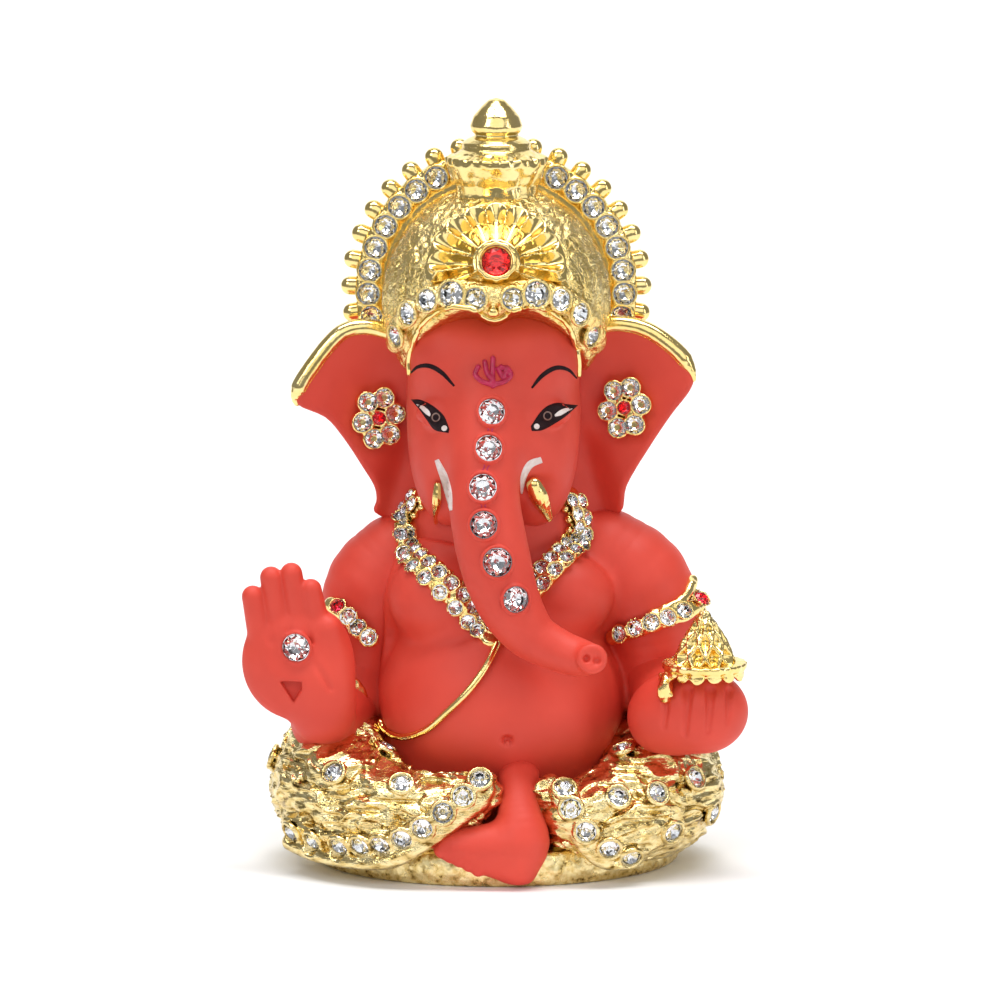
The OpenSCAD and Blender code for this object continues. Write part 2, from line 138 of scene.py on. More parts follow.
def curve(stations, per=6):
    """A smooth run of stations through the given ones (Catmull-Rom)."""
    s = np.asarray(stations, float)
    s = np.vstack([2 * s[0] - s[1], s, 2 * s[-1] - s[-2]])
    out = []
    for i in range(1, len(s) - 2):
        for t in np.linspace(0, 1, per, endpoint=False):
            out.append(0.5 * (2 * s[i] + (s[i + 1] - s[i - 1]) * t
                              + (2 * s[i - 1] - 5 * s[i] + 4 * s[i + 1] - s[i + 2]) * t * t
                              + (3 * s[i] - s[i - 1] - 3 * s[i + 1] + s[i + 2]) * t ** 3))
    out.append(s[-2])
    return np.array(out)


HASH_X, HASH_Y, HASH_Z, HASH_SEED = 73856093, 19349663, 83492791, 2654435  # these scatter the lumps


def noise(p, size, seed=0):
    """Smooth lumps about size mm across, from -1 to 1."""
    q = p / size
    cell = np.floor(q).astype(np.int64)
    f = q - cell
    f = f * f * (3 - 2 * f)
    total = 0
    for dx in (0, 1):
        for dy in (0, 1):
            for dz in (0, 1):
                h = (cell[0] + dx) * HASH_X ^ (cell[1] + dy) * HASH_Y ^ (cell[2] + dz) * HASH_Z
                h = h ^ seed * HASH_SEED
                h = (h * 1103515245 + 12345) & 0x7FFFFFFF
                value = ((h >> 8) & 0xFFFF) / 32767.5 - 1
                share = [part if far else 1 - part for part, far in zip(f, (dx, dy, dz))]
                total = total + value * share[0] * share[1] * share[2]
    return total.astype(np.float32)


def axial(p, at, way):
    """How far each point is along the line through at, and how far off that line."""
    q = p - column(at)
    along = (q * column(way)).sum(axis=0)
    return along, length(q - column(way) * along)


def outline_distance(x, z, points):
    """Signed distance in the plane to a closed outline."""
    best = np.full(x.shape, 1e9, np.float32)
    inside = np.zeros(x.shape, bool)
    for (ax, az), (bx, bz) in zip(points, np.roll(points, -1, axis=0)):
        ex, ez = bx - ax, bz - az
        wx, wz = x - ax, z - az
        t = np.clip((wx * ex + wz * ez) / (ex * ex + ez * ez), 0, 1)
        best = np.minimum(best, (wx - ex * t) ** 2 + (wz - ez * t) ** 2)
        crosses = ((az <= z) & (bz > z)) | ((az > z) & (bz <= z))
        side = ex * wz - ez * wx
        inside ^= crosses & ((side > 0) == (bz > az))
    return np.where(inside, -1, 1) * np.sqrt(best)


# ---------------------------------------------------------------- meshes
BLOCK = 10  # grid cells along one side of a block
BATCH = 400  # blocks worked out at a time


def sample(field, low, high, step):
    """The field on a grid, worked out only in blocks that the surface may cross."""
    low = np.asarray(low, float)
    blocks = np.ceil((np.asarray(high, float) - low) / step / BLOCK).astype(int)
    side = BLOCK * step
    centres = [low[k] + side * (np.arange(blocks[k]) + 0.5) for k in range(3)]
    mesh = np.array(np.meshgrid(*centres, indexing="ij"), np.float32)
    rough = field(mesh.reshape(3, -1)).reshape(blocks)
    far = (np.sign(rough) * 3 * step)[:, None, :, None, :, None]
    shape = (blocks[0], BLOCK, blocks[1], BLOCK, blocks[2], BLOCK)
    values = np.broadcast_to(far, shape).astype(np.float32, order="C")
    near = np.argwhere(np.abs(rough) < side * 1.35 + 0.8)
    within = np.arange(BLOCK) * step
    cell = np.array(np.meshgrid(within, within, within, indexing="ij"), np.float32).reshape(3, 1, -1)
    for start in range(0, len(near), BATCH):
        some = near[start:start + BATCH]
        corner = (low + some * side).T.astype(np.float32).reshape(3, -1, 1)
        got = field((corner + cell).reshape(3, -1)).reshape(len(some), BLOCK, BLOCK, BLOCK)
        values[some[:, 0], :, some[:, 1], :, some[:, 2], :] = got
    return values.reshape(blocks * BLOCK)


def slope(field, p, reach=0.04):
    """The way out of the field's surface at each point."""
    moves = [column(axis * reach) for axis in np.eye(3)]
    g = np.array([field(p + move) - field(p - move) for move in moves])
    return g / np.maximum(length(g), 1e-9)


ONWARD = column((0, math.cos(CAMERA_TILT), -math.sin(CAMERA_TILT)))
UPWARD = column((0, math.sin(CAMERA_TILT), math.cos(CAMERA_TILT)))
MIDDLE = column(np.array(CAMERA_AIM) / MM - SHIFT)
EYE = MIDDLE - ONWARD * (CAMERA_DISTANCE / MM)
START_AHEAD = 22  # mm in front of the figure's middle, where the view lines start their walk
WALK = 70  # steps of that walk
LAID_WITHIN = 0.15  # mm; the end of a view line that is farther from the surface has passed it by


def seen(field, across, up):
    """Points of a field's surface as they show from the front: mm across and mm up the view."""
    across, up = np.atleast_1d(across).astype(np.float32), np.atleast_1d(up).astype(np.float32)
    p = column((1, 0, 0)) * across + UPWARD * up + ONWARD * (ONWARD * MIDDLE).sum()
    way = (p - EYE) / length(p - EYE)
    p = p - way * START_AHEAD
    for _ in range(WALK):
        p = p + way * np.clip(field(p), -0.05, 6) * 0.85
    return p


def laid(field, path, radius, lift=0.0):
    """Stations of a line laid on the front of a field through (across, up) points."""
    path = np.asarray(path, float)
    p = seen(field, path[:, 0], path[:, 1])
    p = p[:, np.abs(field(p)) < LAID_WITHIN]
    p = p + slope(field, p) * lift
    return np.column_stack([p.T, np.full(p.shape[1], radius)])


def on_field(field, across, up, r, lift=0.12, facing=None):
    """A stone's seat where the view line through across, up meets the field: centre, way out, radius."""
    at = seen(field, across, up)
    out = slope(facing or field, at, 0.3)
    return (at + out * lift)[:, 0], out[:, 0], r


SEAT_REACH = 1.4  # how far past a stone's edge its seat can change the surface, in mm
RIM_OFF = 0.14  # from a stone's edge to the middle of its rim
SEAT_SLACK = 0.05


def seated(field, seats, rim=0.24):
    """The field with a seat sunk for every stone and a raised rim round it."""
    def with_seats(p):
        d = field(p)
        for at, out, r in seats:
            near = length(p - column(at)) < r + SEAT_REACH
            if not near.any():
                continue
            along, away = axial(p[:, near], at, out)
            rimmed = join(d[near], np.hypot(away - r - RIM_OFF, along - 0.02) - rim, 0.22)
            pit = overlap(away - r - SEAT_SLACK, -along - 0.62 * r - 0.1, 0.05)
            d[near] = cut(rimmed, pit, 0.06)
        return d
    return with_seats


def polygons(field, low, high, step):
    """Vertices (mm) and quads of the field's surface, with the vertices drawn onto it."""
    values = sample(field, low, high, step)
    grid = vdb.FloatGrid(3 * step)
    grid.copyFromArray(np.clip(values, -3 * step, 3 * step))
    points, triangles, quads = grid.convertToPolygons(0.0, 0.0)
    p = (points * step + np.asarray(low)).T.astype(np.float32)
    for _ in range(2):
        p = p - slope(field, p) * np.clip(field(p), -step, step) * 0.9
    return p.T, [*triangles.tolist(), *quads.tolist()]


def add_mesh(name, points, faces, smooth=True):
    """A mesh object from points in the drawing's millimetres."""
    mesh = bpy.data.meshes.new(name)
    mesh.from_pydata(((np.asarray(points, float) + SHIFT) * MM).tolist(), [], faces)
    mesh.polygons.foreach_set("use_smooth", [smooth] * len(mesh.polygons))
    mesh.update()
    obj = bpy.data.objects.new(name, mesh)
    bpy.context.scene.collection.objects.link(obj)
    return obj


def place(obj, material, node=None):
    """Gives a piece its material and its body, and hides the CAD node that it stands for."""
    obj.data.materials.append(material)
    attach(obj, "root")
    if node:
        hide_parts(node)


def sculpt(name, field, low, high, step, material, node=None):
    """Makes a piece from its field in the box from low to high. Its CAD node has its name, or is given."""
    points, faces = polygons(field, low, high, step)
    place(add_mesh(name, points, faces), material, node or name)


# ---------------------------------------------------------------- materials
class Look:
    """A node material with helpers for the few node kinds used here."""

    def __init__(self, name):
        self.material = bpy.data.materials.new(name)
        self.material.use_nodes = True
        self.tree = self.material.node_tree
        self.shader = self.tree.nodes["Principled BSDF"]
        self.where = self.tree.nodes.new("ShaderNodeTexCoord").outputs["Object"]

    def node(self, kind, **inputs):
        n = self.tree.nodes.new(kind)
        for key, value in inputs.items():
            self.put(n.inputs[key.replace("_", " ")], value)
        return n

    def put(self, socket, value):
        if isinstance(value, bpy.types.NodeSocket):
            self.tree.links.new(value, socket)
        else:
            socket.default_value = value

    def noise(self, per_mm, detail=2.0, rough=0.5, stretch=None):
        where = self.where
        if stretch:
            where = self.node("ShaderNodeMapping", Vector=where, Scale=stretch).outputs["Vector"]
        n = self.node("ShaderNodeTexNoise", Vector=where, Scale=per_mm / MM, Detail=detail, Roughness=rough)
        return n.outputs["Fac"]

    def ramp(self, value, *stops):
        """Stops are (position, colour)."""
        n = self.node("ShaderNodeValToRGB", Fac=value)
        while len(n.color_ramp.elements) < len(stops):
            n.color_ramp.elements.new(0.5)
        for element, (at, colour) in zip(n.color_ramp.elements, stops):
            element.position = at
            element.color = (*colour, 1.0)
        return n.outputs["Color"]

    def span(self, value, low, high):
        """Value from 0..1 stretched to low..high."""
        n = self.node("ShaderNodeMapRange", Value=value)
        n.inputs["To Min"].default_value = low
        n.inputs["To Max"].default_value = high
        return n.outputs["Result"]

    def bump(self, height, depth_mm, strength=1.0, under=None):
        n = self.node("ShaderNodeBump", Height=height, Distance=depth_mm * MM, Strength=strength)
        if under is not None:
            self.put(n.inputs["Normal"], under)
        return n.outputs["Normal"]

    def set(self, **inputs):
        for key, value in inputs.items():
            self.put(self.shader.inputs[key.replace("_", " ")], value)
        return self.material


def coral_paint():
    look = Look("coral_paint")
    colour = look.ramp(look.noise(0.12, 3.0), (0.30, (0.66, 0.053, 0.031)), (0.70, (0.76, 0.071, 0.042)))
    grain = look.noise(9.0, 3.0, 0.6)
    return look.set(Base_Color=colour, Roughness=look.span(look.noise(0.5, 2.0), 0.46, 0.62),
                    Specular_IOR_Level=0.42, Normal=look.bump(grain, 0.012, 0.6),
                    Subsurface_Weight=0.06, Subsurface_Scale=0.001, Subsurface_Radius=(1.0, 0.3, 0.2))


BRIGHT = [(0.30, (0.93, 0.68, 0.22)), (0.70, (0.98, 0.78, 0.36))]
# Gold tones for the cloth and the base, with near-black patches scattered at random: painted shade standing in
# for shadowed creases and dark reflections.
GOLD_WITH_PAINTED_SHADE = [(0.30, (0.16, 0.09, 0.015)), (0.42, (0.72, 0.53, 0.20)), (0.60, (0.95, 0.79, 0.41))]


def gold(name, bumps, rough=(0.10, 0.22), colours=BRIGHT, patches=0.35, stretch=None):
    """Gold plate; bumps is a list of (lumps per mm, depth in mm) for the relief of the cast under it."""
    look = Look(name)
    colour = look.ramp(look.noise(patches, 3.0, 0.6, stretch), *colours)
    look.set(Base_Color=colour, Metallic=1.0, Roughness=look.span(look.noise(0.8, 3.0), *rough))
    normal = None
    for per_mm, depth in bumps:
        normal = look.bump(look.noise(per_mm, 3.0, 0.6, stretch), depth, under=normal)
    return look.set(Normal=normal)


def paint(name, dark, light, rough, shine=0.5):
    look = Look(name)
    colour = look.ramp(look.noise(1.5, 3.0), (0.3, dark), (0.7, light))
    return look.set(Specular_IOR_Level=shine, Base_Color=colour,
                    Roughness=look.span(look.noise(2.0), rough - 0.06, rough + 0.08),
                    Normal=look.bump(look.noise(8.0), 0.01, 0.5))


def shades(tint, change):
    """Two ramp stops: a tint, and the same made lighter or darker."""
    return (0.3, tint), (0.7, tuple(min(1.0, c * change) for c in tint))


def crystal(name, tint):
    """The clear body of a stone."""
    look = Look(name)
    return look.set(Base_Color=look.ramp(look.noise(0.8), *shades(tint, 1.04)),
                    Transmission_Weight=1.0, IOR=1.56, Roughness=look.span(look.noise(3.0), 0.0, 0.03))


def foil(name, tint):
    """The mirror backing under a stone."""
    look = Look(name)
    return look.set(Base_Color=look.ramp(look.noise(0.9), *shades(tint, 0.86)),
                    Metallic=1.0, Roughness=look.span(look.noise(2.0), 0.03, 0.10))


CORAL = coral_paint()
GOLD = gold("gold_plate", [(0.45, 0.06), (6.0, 0.004)])
# The dhoti's cloth and the base strip use the gold with painted shade: its dark patches are painted shadow and
# dark reflection.
GOLD_CLOTH = gold("gold_cloth", [(1.1, 0.22), (2.6, 0.07)], (0.14, 0.26), GOLD_WITH_PAINTED_SHADE, 1.3, (0.5, 0.5, 1.2))
GOLD_BASE = gold("gold_base", [(0.8, 0.16), (2.4, 0.05)], (0.22, 0.34), GOLD_WITH_PAINTED_SHADE, 1.1)
GOLD_GRAIN = gold("gold_grain", [(1.7, 0.26), (3.6, 0.08)], (0.16, 0.26))
GOLD_FINE = gold("gold_fine", [(1.2, 0.05), (6.0, 0.006)])
CLEAR = crystal("clear_crystal", (0.97, 0.98, 1.0))
CLEAR_FOIL = foil("clear_foil", (0.86, 0.88, 0.90))
RUBY = crystal("ruby_crystal", (0.95, 0.03, 0.07))
RUBY_FOIL = foil("ruby_foil", (0.95, 0.35, 0.38))
BLACK = paint("black_paint", (0.010, 0.003, 0.005), (0.022, 0.008, 0.010), 0.6, 0.15)
WHITE = paint("white_paint", (0.72, 0.55, 0.50), (0.86, 0.78, 0.75), 0.40)
MAGENTA = paint("magenta_paint", (0.42, 0.006, 0.05), (0.62, 0.02, 0.10), 0.30)
BROWN = paint("iris_paint", (0.16, 0.09, 0.075), (0.30, 0.18, 0.14), 0.30)
dict.fromkeys((GOLD, GOLD_CLOTH, GOLD_BASE, GOLD_GRAIN, GOLD_FINE), "gold_plate")


# ---------------------------------------------------------------- head
TRUNK = curve([[-0.8, -6.4, 51.5, 3.2], [-1.2, -7.9, 48.6, 3.4], [-1.3, -10.0, 43.5, 3.5],
               [-1.2, -11.4, 39.0, 3.7], [-0.2, -12.2, 33.8, 3.7], [0.9, -12.6, 30.2, 3.4],
               [2.2, -12.9, 27.7, 3.0], [3.8, -13.1, 25.8, 2.55], [6.3, -13.6, 24.5, 2.2],
               [8.4, -14.5, 23.9, 2.0], [9.4, -15.6, 24.0, 1.65]], 4)
TRUNK_TIP = (9.75, -16.4, 24.1)  # middle of the trunk's open end, which faces the front
TIP_WAY = np.array([0.10, -0.98, 0.16])
TRUNK_STONES = [[-0.5, 46.7, 1.3], [-0.8, 42.9, 1.3], [-1.4, 38.8, 1.35], [-1.3, 34.9, 1.35],
                [0.1, 31.0, 1.45], [2.0, 27.1, 1.3]]  # mm across and up the view, and radius


def mirrored(p, side):
    return p * column((side, 1, 1))


def head_form(p):
    d = ellipsoid(p, (-0.3, -0.2, 48.3), (9.1, 9.2, 12))
    for side in (-1, 1):
        q = mirrored(p + column((0.3, 0, 0)), side)
        d = join(d, ellipsoid(q, (4.2, -4.2, 53.6), (4.6, 4.9, 5.4)), 2.4)
        d = join(d, ellipsoid(q, (4.1, -3.8, 43.0), (4.4, 5.4, 7.2)), 2.4)
        d = cut(d, ellipsoid(q, (5.9, -10.6, 48.2), (3.4, 1.5, 1.9)), 1.6)
        d = join(d, ellipsoid(q, (5.5, -7.9, 48.2), (2.5, 1.35, 1.35)), 0.7)
        lid = tube(q, curve([[3.2, -9.4, 48.6, 0.16], [5.2, -9.6, 50.1, 0.22], [7.6, -8.0, 50.3, 0.16]], 3))
        d = cut(d, lid, 0.5)
    d = join(d, tube(p, TRUNK), 1.7)
    d = join(d, tube(p, [[-0.5, -4.6, 53.5, 4.0], [-0.6, -5.4, 50, 4.6], [-0.9, -7.2, 45, 4.4]]), 2.6)
    for side, x in ((-1, -4.9), (1, 4.5)):
        d = cut(d, capsule(p, (x + side * 0.5, -9.0, 40.4), (x + side * 1.2, -9.8, 36.2), 1.2, 1.8), 1.5)
    along, away = axial(p, TRUNK_TIP, TIP_WAY)
    d = join(d, np.hypot(away - 1.15, along - 0.5) - 0.42, 0.5)
    d = join(d, overlap(away - 1.2, np.abs(along) - 0.5, 0.3), 0.4)
    for x in (-0.52, 0.52):
        nostril = np.array(TRUNK_TIP) + np.array([x, -0.75, 0.05 - 0.2 * x])
        d = cut(d, ball(p, nostril, 0.40), 0.2)
    crease = tube(p, curve([[1.6, -16.0, 27.0, 0.14], [3.4, -16.3, 26.7, 0.2], [4.9, -15.6, 27.3, 0.12]], 3))
    d = cut(d, crease, 0.4)
    return d


trunk_seats = [on_field(head_form, *stone) for stone in TRUNK_STONES]
head_field = seated(head_form, trunk_seats)
sculpt("head", head_field, (-11, -18.6, 22), (12.2, 10.4, 61), FINE, CORAL)


# ---------------------------------------------------------------- body
RIGHT_ARM = curve([[-10.6, 2.4, 31.4, 4.6], [-12.9, 2.2, 28.6, 5.0], [-14.2, 2.4, 24.5, 4.5],
                   [-14.8, 2.0, 20, 3.9], [-15.4, 0.6, 17.6, 3.8]], 3)
LEFT_ARM = curve([[11.6, 2.4, 31.6, 5.0], [14.8, 2.0, 28.8, 5.6], [16.6, 2.2, 24.5, 5.0],
                  [17.2, 1.8, 20, 4.2], [17.6, 0.2, 17.6, 4.1]], 3)


def body_field(p):
    d = ellipsoid(p, (0.6, 0.0, 16.6), (12.8, 11.5, 11.2))
    d = join(d, ellipsoid(p, (0.6, 2.0, 28.2), (12.4, 7.8, 7.6)), 3.0)
    d = join(d, ellipsoid(p, (0, 3.4, 9), (14.5, 10.0, 7)), 3.0)
    d = join(d, ellipsoid(p, (0.2, 1.5, 35.5), (9.4, 7.2, 6.5)), 2.6)
    for x in (-5.6, 7.0):
        d = join(d, ellipsoid(p, (x, -3.6, 28.4), (5.2, 4.4, 4.4)), 1.8)
    d = join(d, tube(p, RIGHT_ARM), 1.3)
    d = join(d, tube(p, LEFT_ARM), 1.3)
    d = cut(d, ball(p, (1.15, -11.3, 14.5), 0.62), 0.2)
    d = join(d, ball(p, (1.15, -11.0, 14.3), 0.26), 0.2)
    fold = tube(p, curve([[8.3, -9.2, 21.8, 0.3], [10.4, -7.6, 20.4, 0.4], [12.6, -5.2, 20.9, 0.3]], 4))
    d = cut(d, fold, 0.9)
    spine = tube(p, curve([[0.3, 9.9, 31, 0.5], [0.2, 12.0, 22, 0.5], [0.1, 13.2, 12, 0.4]], 4))
    return cut(d, spine, 1.6)


sculpt("body", body_field, (-20.4, -13.6, 4), (23.6, 14.8, 41), MEDIUM, CORAL, "torso")


# The cloth over the right side of the chest: the body grown a little, kept to one side of its edge.
DRAPE_EDGE = curve([[0.2, 24.4], [-1.2, 21.9], [-2.9, 19.3], [-5.3, 16.9], [-7.6, 15.0], [-9.9, 14.1],
                    [-11.8, 14.8], [-12.4, 18.5], [-11.8, 24.0], [-11.6, 29.0], [-9.0, 34.0],
                    [-2.0, 34.0]], 4)
DRAPE_LINE = curve([[0.1, 22.5], [-1.1, 20.1], [-2.9, 17.6], [-5.3, 15.2], [-7.4, 13.4], [-9.8, 12.7],
                    [-11.6, 13.4], [-12.1, 14.3]], 4)


def drape_shell(p):
    return body_field(p) - 0.55


def drape_field(p):
    d = overlap(drape_shell(p), outline_distance(p[0], p[2], DRAPE_EDGE), 0.5)
    d = overlap(d, p[1] - 1.0, 0.6)
    return overlap(d, -(body_field(p) + 0.4), 0.1)


sculpt("chest_drape", drape_field, (-15, -14, 14.6), (3.4, 2, 38), FINE, CORAL)
border = partial(tube, stations=laid(drape_shell, DRAPE_LINE, 0.38))
sculpt("drape_border", border, (-14, -15, 14), (2.6, -2, 28), TRIM, GOLD)


# ---------------------------------------------------------------- right hand, raised
FINGERS = [[-24.9, 24.6, 29.6], [-23.0, 25.4, 31.6], [-20.9, 25.8, 32.0], [-18.9, 25.4, 30.3]]  # x, root, tip
RIGHT_WRIST = curve([[-18.0, -7.2, 16.4, 3.2], [-17.8, -4.6, 15.4, 3.6], [-15.8, 0.4, 16.4, 3.7]], 4)
PALM_CREASE = curve([[-20.0, -10.9, 24.0, 0.12], [-18.6, -11.2, 22.4, 0.2], [-17.2, -11.0, 20.0, 0.12]], 3)


def right_hand_form(p):
    d = ellipsoid(p, (-20.6, -8.4, 22.4), (5.8, 2.4, 6.2))
    d = join(d, ellipsoid(p, (-18.0, -8.6, 19.6), (3.2, 2.6, 5.0)), 1.2)
    for x, z, top in FINGERS:
        d = join(d, capsule(p, (x + 0.5, -8.5, z), (x - 0.3, -9.1, top - 0.3), 1.32, 1.14), 0.3)
    for (x, _, top), (next_x, _, _) in zip(FINGERS, FINGERS[1:]):
        middle = (x + next_x) / 2
        groove = capsule(p, (middle + 0.6, -10.5, 24.8), (middle - 0.3, -10.6, top + 0.6), 0.30)
        d = cut(d, groove, 0.5)
    d = join(d, capsule(p, (-16.6, -8.4, 18.6), (-17.3, -9.4, 26.0), 1.8, 1.25), 0.9)
    d = join(d, tube(p, RIGHT_WRIST), 1.6)
    d = cut(d, ball(p, (-21.2, -13.4, 23.6), 3.2), 1.2)
    notch = overlap(p[2] - 20.6, np.abs(p[0] + 21.0) * 1.6 - (p[2] - 18.4), 0.1)
    notch = overlap(overlap(notch, -(p[1] + 10.75), 0.1), p[1] + 9.6, 0.1)
    d = cut(d, notch, 0.3)
    return cut(d, tube(p, PALM_CREASE), 0.5)


palm_seats = [on_field(right_hand_form, -20.9, 22.1, 1.4, 0.2)]
right_hand_field = seated(right_hand_form, palm_seats)
sculpt("right_hand", right_hand_field, (-28, -12.6, 11), (-11.6, 4.8, 33.5), FINE, CORAL, "right_forearm")


# ---------------------------------------------------------------- left hand, under the dish
LEFT_WRIST = curve([[19.6, -7.4, 17.2, 3.8], [18.6, -3.4, 17.0, 4.1], [17.6, 0.4, 18.4, 4.1]], 4)


def left_fist(p):
    d = ellipsoid(p, (21.2, -10.2, 17.4), (4.9, 3.9, 4.4))
    d = join(d, ellipsoid(p, (17.8, -8.6, 16.6), (4.2, 3.9, 4.2)), 1.5)
    return join(d, tube(p, LEFT_WRIST), 1.6)


FIST_CREASES = [[17.8, 13.8, 0.45], [20.0, 13.0, 0.62], [22.4, 13.2, 0.66], [24.4, 14.2, 0.52]]  # x, low end, r
left_creases = []
for x, low, r in FIST_CREASES:
    line = laid(left_fist, curve([[x, 17.6], [x - 0.1, 15.6], [x - 0.3, low]], 3), r)
    line[:, 3] *= np.linspace(0.9, 0.3, len(line))
    left_creases.append(line)


def left_hand_field(p):
    d = left_fist(p)
    for line in left_creases:
        d = cut(d, tube(p, line), 0.35)
    return d


sculpt("left_hand", left_hand_field, (11.8, -15.2, 10.8), (27.6, 5.2, 23.2), FINE, CORAL, "left_forearm")


# ---------------------------------------------------------------- ears
RIGHT_EAR = curve([[6.6, 52.6], [9.0, 54.6], [11.2, 55.5], [13.6, 56.1], [15.7, 55.8], [17.3, 54.5],
                   [19.1, 52.2], [20.5, 50.0], [20.8, 48.2], [17.9, 46.7], [16.0, 44.4], [14.2, 41.6],
                   [12.9, 39.4], [12.6, 37.8], [12.8, 36.4], [10.4, 35.4], [7.6, 38.4], [5.4, 44]], 4)
LEFT_EAR = curve([[6.6, 52.6], [9.0, 54.8], [10.4, 55.9], [12.2, 56.4], [14.6, 56.2], [16.7, 55.3],
                  [19.1, 53.4], [20.5, 51.2], [20.2, 49.6], [18.3, 47.0], [16.0, 43.4], [13.7, 39.4],
                  [13.1, 36.5], [10.4, 35.4], [7.6, 38.4], [5.4, 44]], 4)
EARS = {-1: (RIGHT_EAR, 5, 33), 1: (LEFT_EAR, 6, 30)}  # outline, and the run of it that carries the rim


def ear_middle(x, z):
    """Depth of the middle of the ear's leaf: it swings forward outwards, with a hollow in its middle."""
    hollow = 1.5 * np.exp(-((x - 12.6) ** 2 / 14 + (z - 47.5) ** 2 / 30))
    fold = 1.7 * np.exp(-((x - 9.0 - 0.3 * (44 - z)) ** 2 / 4)) / (1 + np.exp(z - 45))
    return 1.5 - 0.17 * (x - 8.5) + hollow + fold


def ear_field(p, side):
    q = mirrored(p, side)
    leaf = np.abs(q[1] - ear_middle(q[0], q[2])) - 0.75
    return overlap(leaf, outline_distance(q[0], q[2], EARS[side][0]), 0.8)


def ear_rim_field(p, side):
    outline, start, end = EARS[side]
    path = outline[start:end]
    taper = np.clip(np.minimum(np.arange(len(path)) + 2, len(path) - np.arange(len(path))) / 5, 0.3, 1)
    path = np.column_stack([path[:, 0], ear_middle(path[:, 0], path[:, 1]) - 0.1, path[:, 1], 0.92 * taper])
    return tube(mirrored(p, side), path)


for side, name in ((-1, "right"), (1, "left")):
    low, high = (4, -4.2, 33.6), (22.4, 5.4, 56.8)
    if side < 0:
        low, high = (-high[0], low[1], low[2]), (-low[0], high[1], high[2])
    sculpt(name + "_ear", partial(ear_field, side=side), low, high, FINE, CORAL)
    sculpt(name + "_ear_rim", partial(ear_rim_field, side=side), low, high, FINE, GOLD)


# ---------------------------------------------------------------- legs in the dhoti
def cloth_folds(p, seed):
    """Relief of crinkled cloth, streaked across the leg."""
    streaks = p * column((0.42, 0.42, 1.15)) + noise(p, 3.5, seed) * 1.3
    crinkle = 0.62 * np.abs(noise(streaks, 1.15, seed + 2)) + 0.30 * np.abs(noise(streaks, 0.62, seed + 4))
    crease = np.exp(-(noise(streaks, 3.2, seed + 5) / 0.10) ** 2)
    return 0.40 * noise(p, 3.4, seed + 3) - crinkle - 0.45 * crease + 0.30


RIGHT_LEG = curve([[-8, 6, 8.4, 6.6], [-14.6, 2.0, 8.6, 7.4], [-16.6, -4.6, 8.2, 6.9],
                   [-11.4, -10.4, 7.0, 5.4], [-5.6, -12.8, 7.6, 3.9], [-1.4, -13.4, 9.4, 2.3]], 4)
LEFT_LEG = curve([[8, 6, 8.4, 6.6], [14.8, 2.0, 8.4, 7.4], [16.8, -4.6, 7.9, 6.7], [12.2, -10.4, 6.4, 5.2],
                  [7.8, -12.4, 6.8, 3.6], [5.4, -12.7, 8.8, 2.2]], 4)
RIGHT_HEM = curve([[-21.4, -8.6, 4.6], [-18.0, -12.2, 3.8], [-13.6, -15.0, 3.7], [-9.8, -16.3, 4.8],
                   [-5.6, -16.4, 7.5], [-1.6, -15.6, 10.4]], 5)
LEFT_HEM = curve([[6.9, -14.6, 9.7], [7.8, -15.3, 7.6], [9.4, -15.5, 5.4], [11.8, -15.0, 3.6],
                  [14.4, -13.6, 2.7]], 5)


def leg_form(p, line, hem, seed):
    plain = tube(p, line)
    d = plain - cloth_folds(p, seed)
    band = tube(p, np.column_stack([hem, np.full(len(hem), 1.45)]))
    d = join(d, overlap(band, plain - 0.55, 0.5), 0.3)
    lip = tube(p, np.column_stack([hem - np.array([0, 0, 1.35]), np.full(len(hem), 0.95)]))
    d = join(d, lip, 0.35)
    return overlap(d, -(p[2] - 1.6), 0.8)


DHOTI_STONE_R = 1.0
RIGHT_BORDER_STONES = [[-21.2, 2.9], [-19.0, 2.0], [-16.3, 1.5], [-14.1, 1.5], [-12.0, 1.6], [-9.8, 2.2],
                       [-7.7, 3.3], [-5.6, 4.8], [-3.5, 6.5], [-1.7, 8.2]]
RIGHT_FIELD_STONES = [[-17.6, 13.6], [-23.1, 10.6], [-16.9, 8.9], [-11.6, 11.4], [-9.9, 7.7]]
LEFT_BORDER_STONES = [[7.1, 7.2], [7.8, 5.2], [9.4, 2.9], [11.8, 1.2], [14.0, 0.3]]
LEFT_FIELD_STONES = [[13.3, 11.3], [12.7, 6.4], [16.7, 6.8], [20.6, 8.4], [18.3, 2.9], [22.4, 4.9]]
LEGS = {"right": (RIGHT_LEG, RIGHT_HEM, 3, RIGHT_BORDER_STONES + RIGHT_FIELD_STONES, (-25.8, 1.6)),
        "left": (LEFT_LEG, LEFT_HEM, 11, LEFT_BORDER_STONES + LEFT_FIELD_STONES, (1.4, 25.8))}
leg_seats = {}
for name, (line, hem, seed, places, (low_x, high_x)) in LEGS.items():
    form = partial(leg_form, line=line, hem=hem, seed=seed)
    plain = partial(tube, stations=line)
    leg_seats[name] = [on_field(form, x, up, DHOTI_STONE_R, 0.25, plain) for x, up in places]
    sculpt(name + "_leg", seated(form, leg_seats[name], 0.3), (low_x, -18.6, 0.6), (high_x, 14, 17.6),
           CRINKLED, GOLD_CLOTH)


ANKLE = curve([[2.3, -8.6, 10.6, 2.2], [2.4, -12.0, 9.3, 2.0], [2.4, -14.2, 7.2, 2.3], [2.6, -15.2, 4.7, 2.9],
               [2.3, -15.4, 2.4, 2.1]], 4)
SOLE = curve([[1.6, -15.3, 4.4, 2.7], [-1.6, -15.6, 4.2, 2.3], [-4.0, -15.8, 4.3, 1.8],
              [-5.5, -15.8, 4.1, 1.0]], 4)


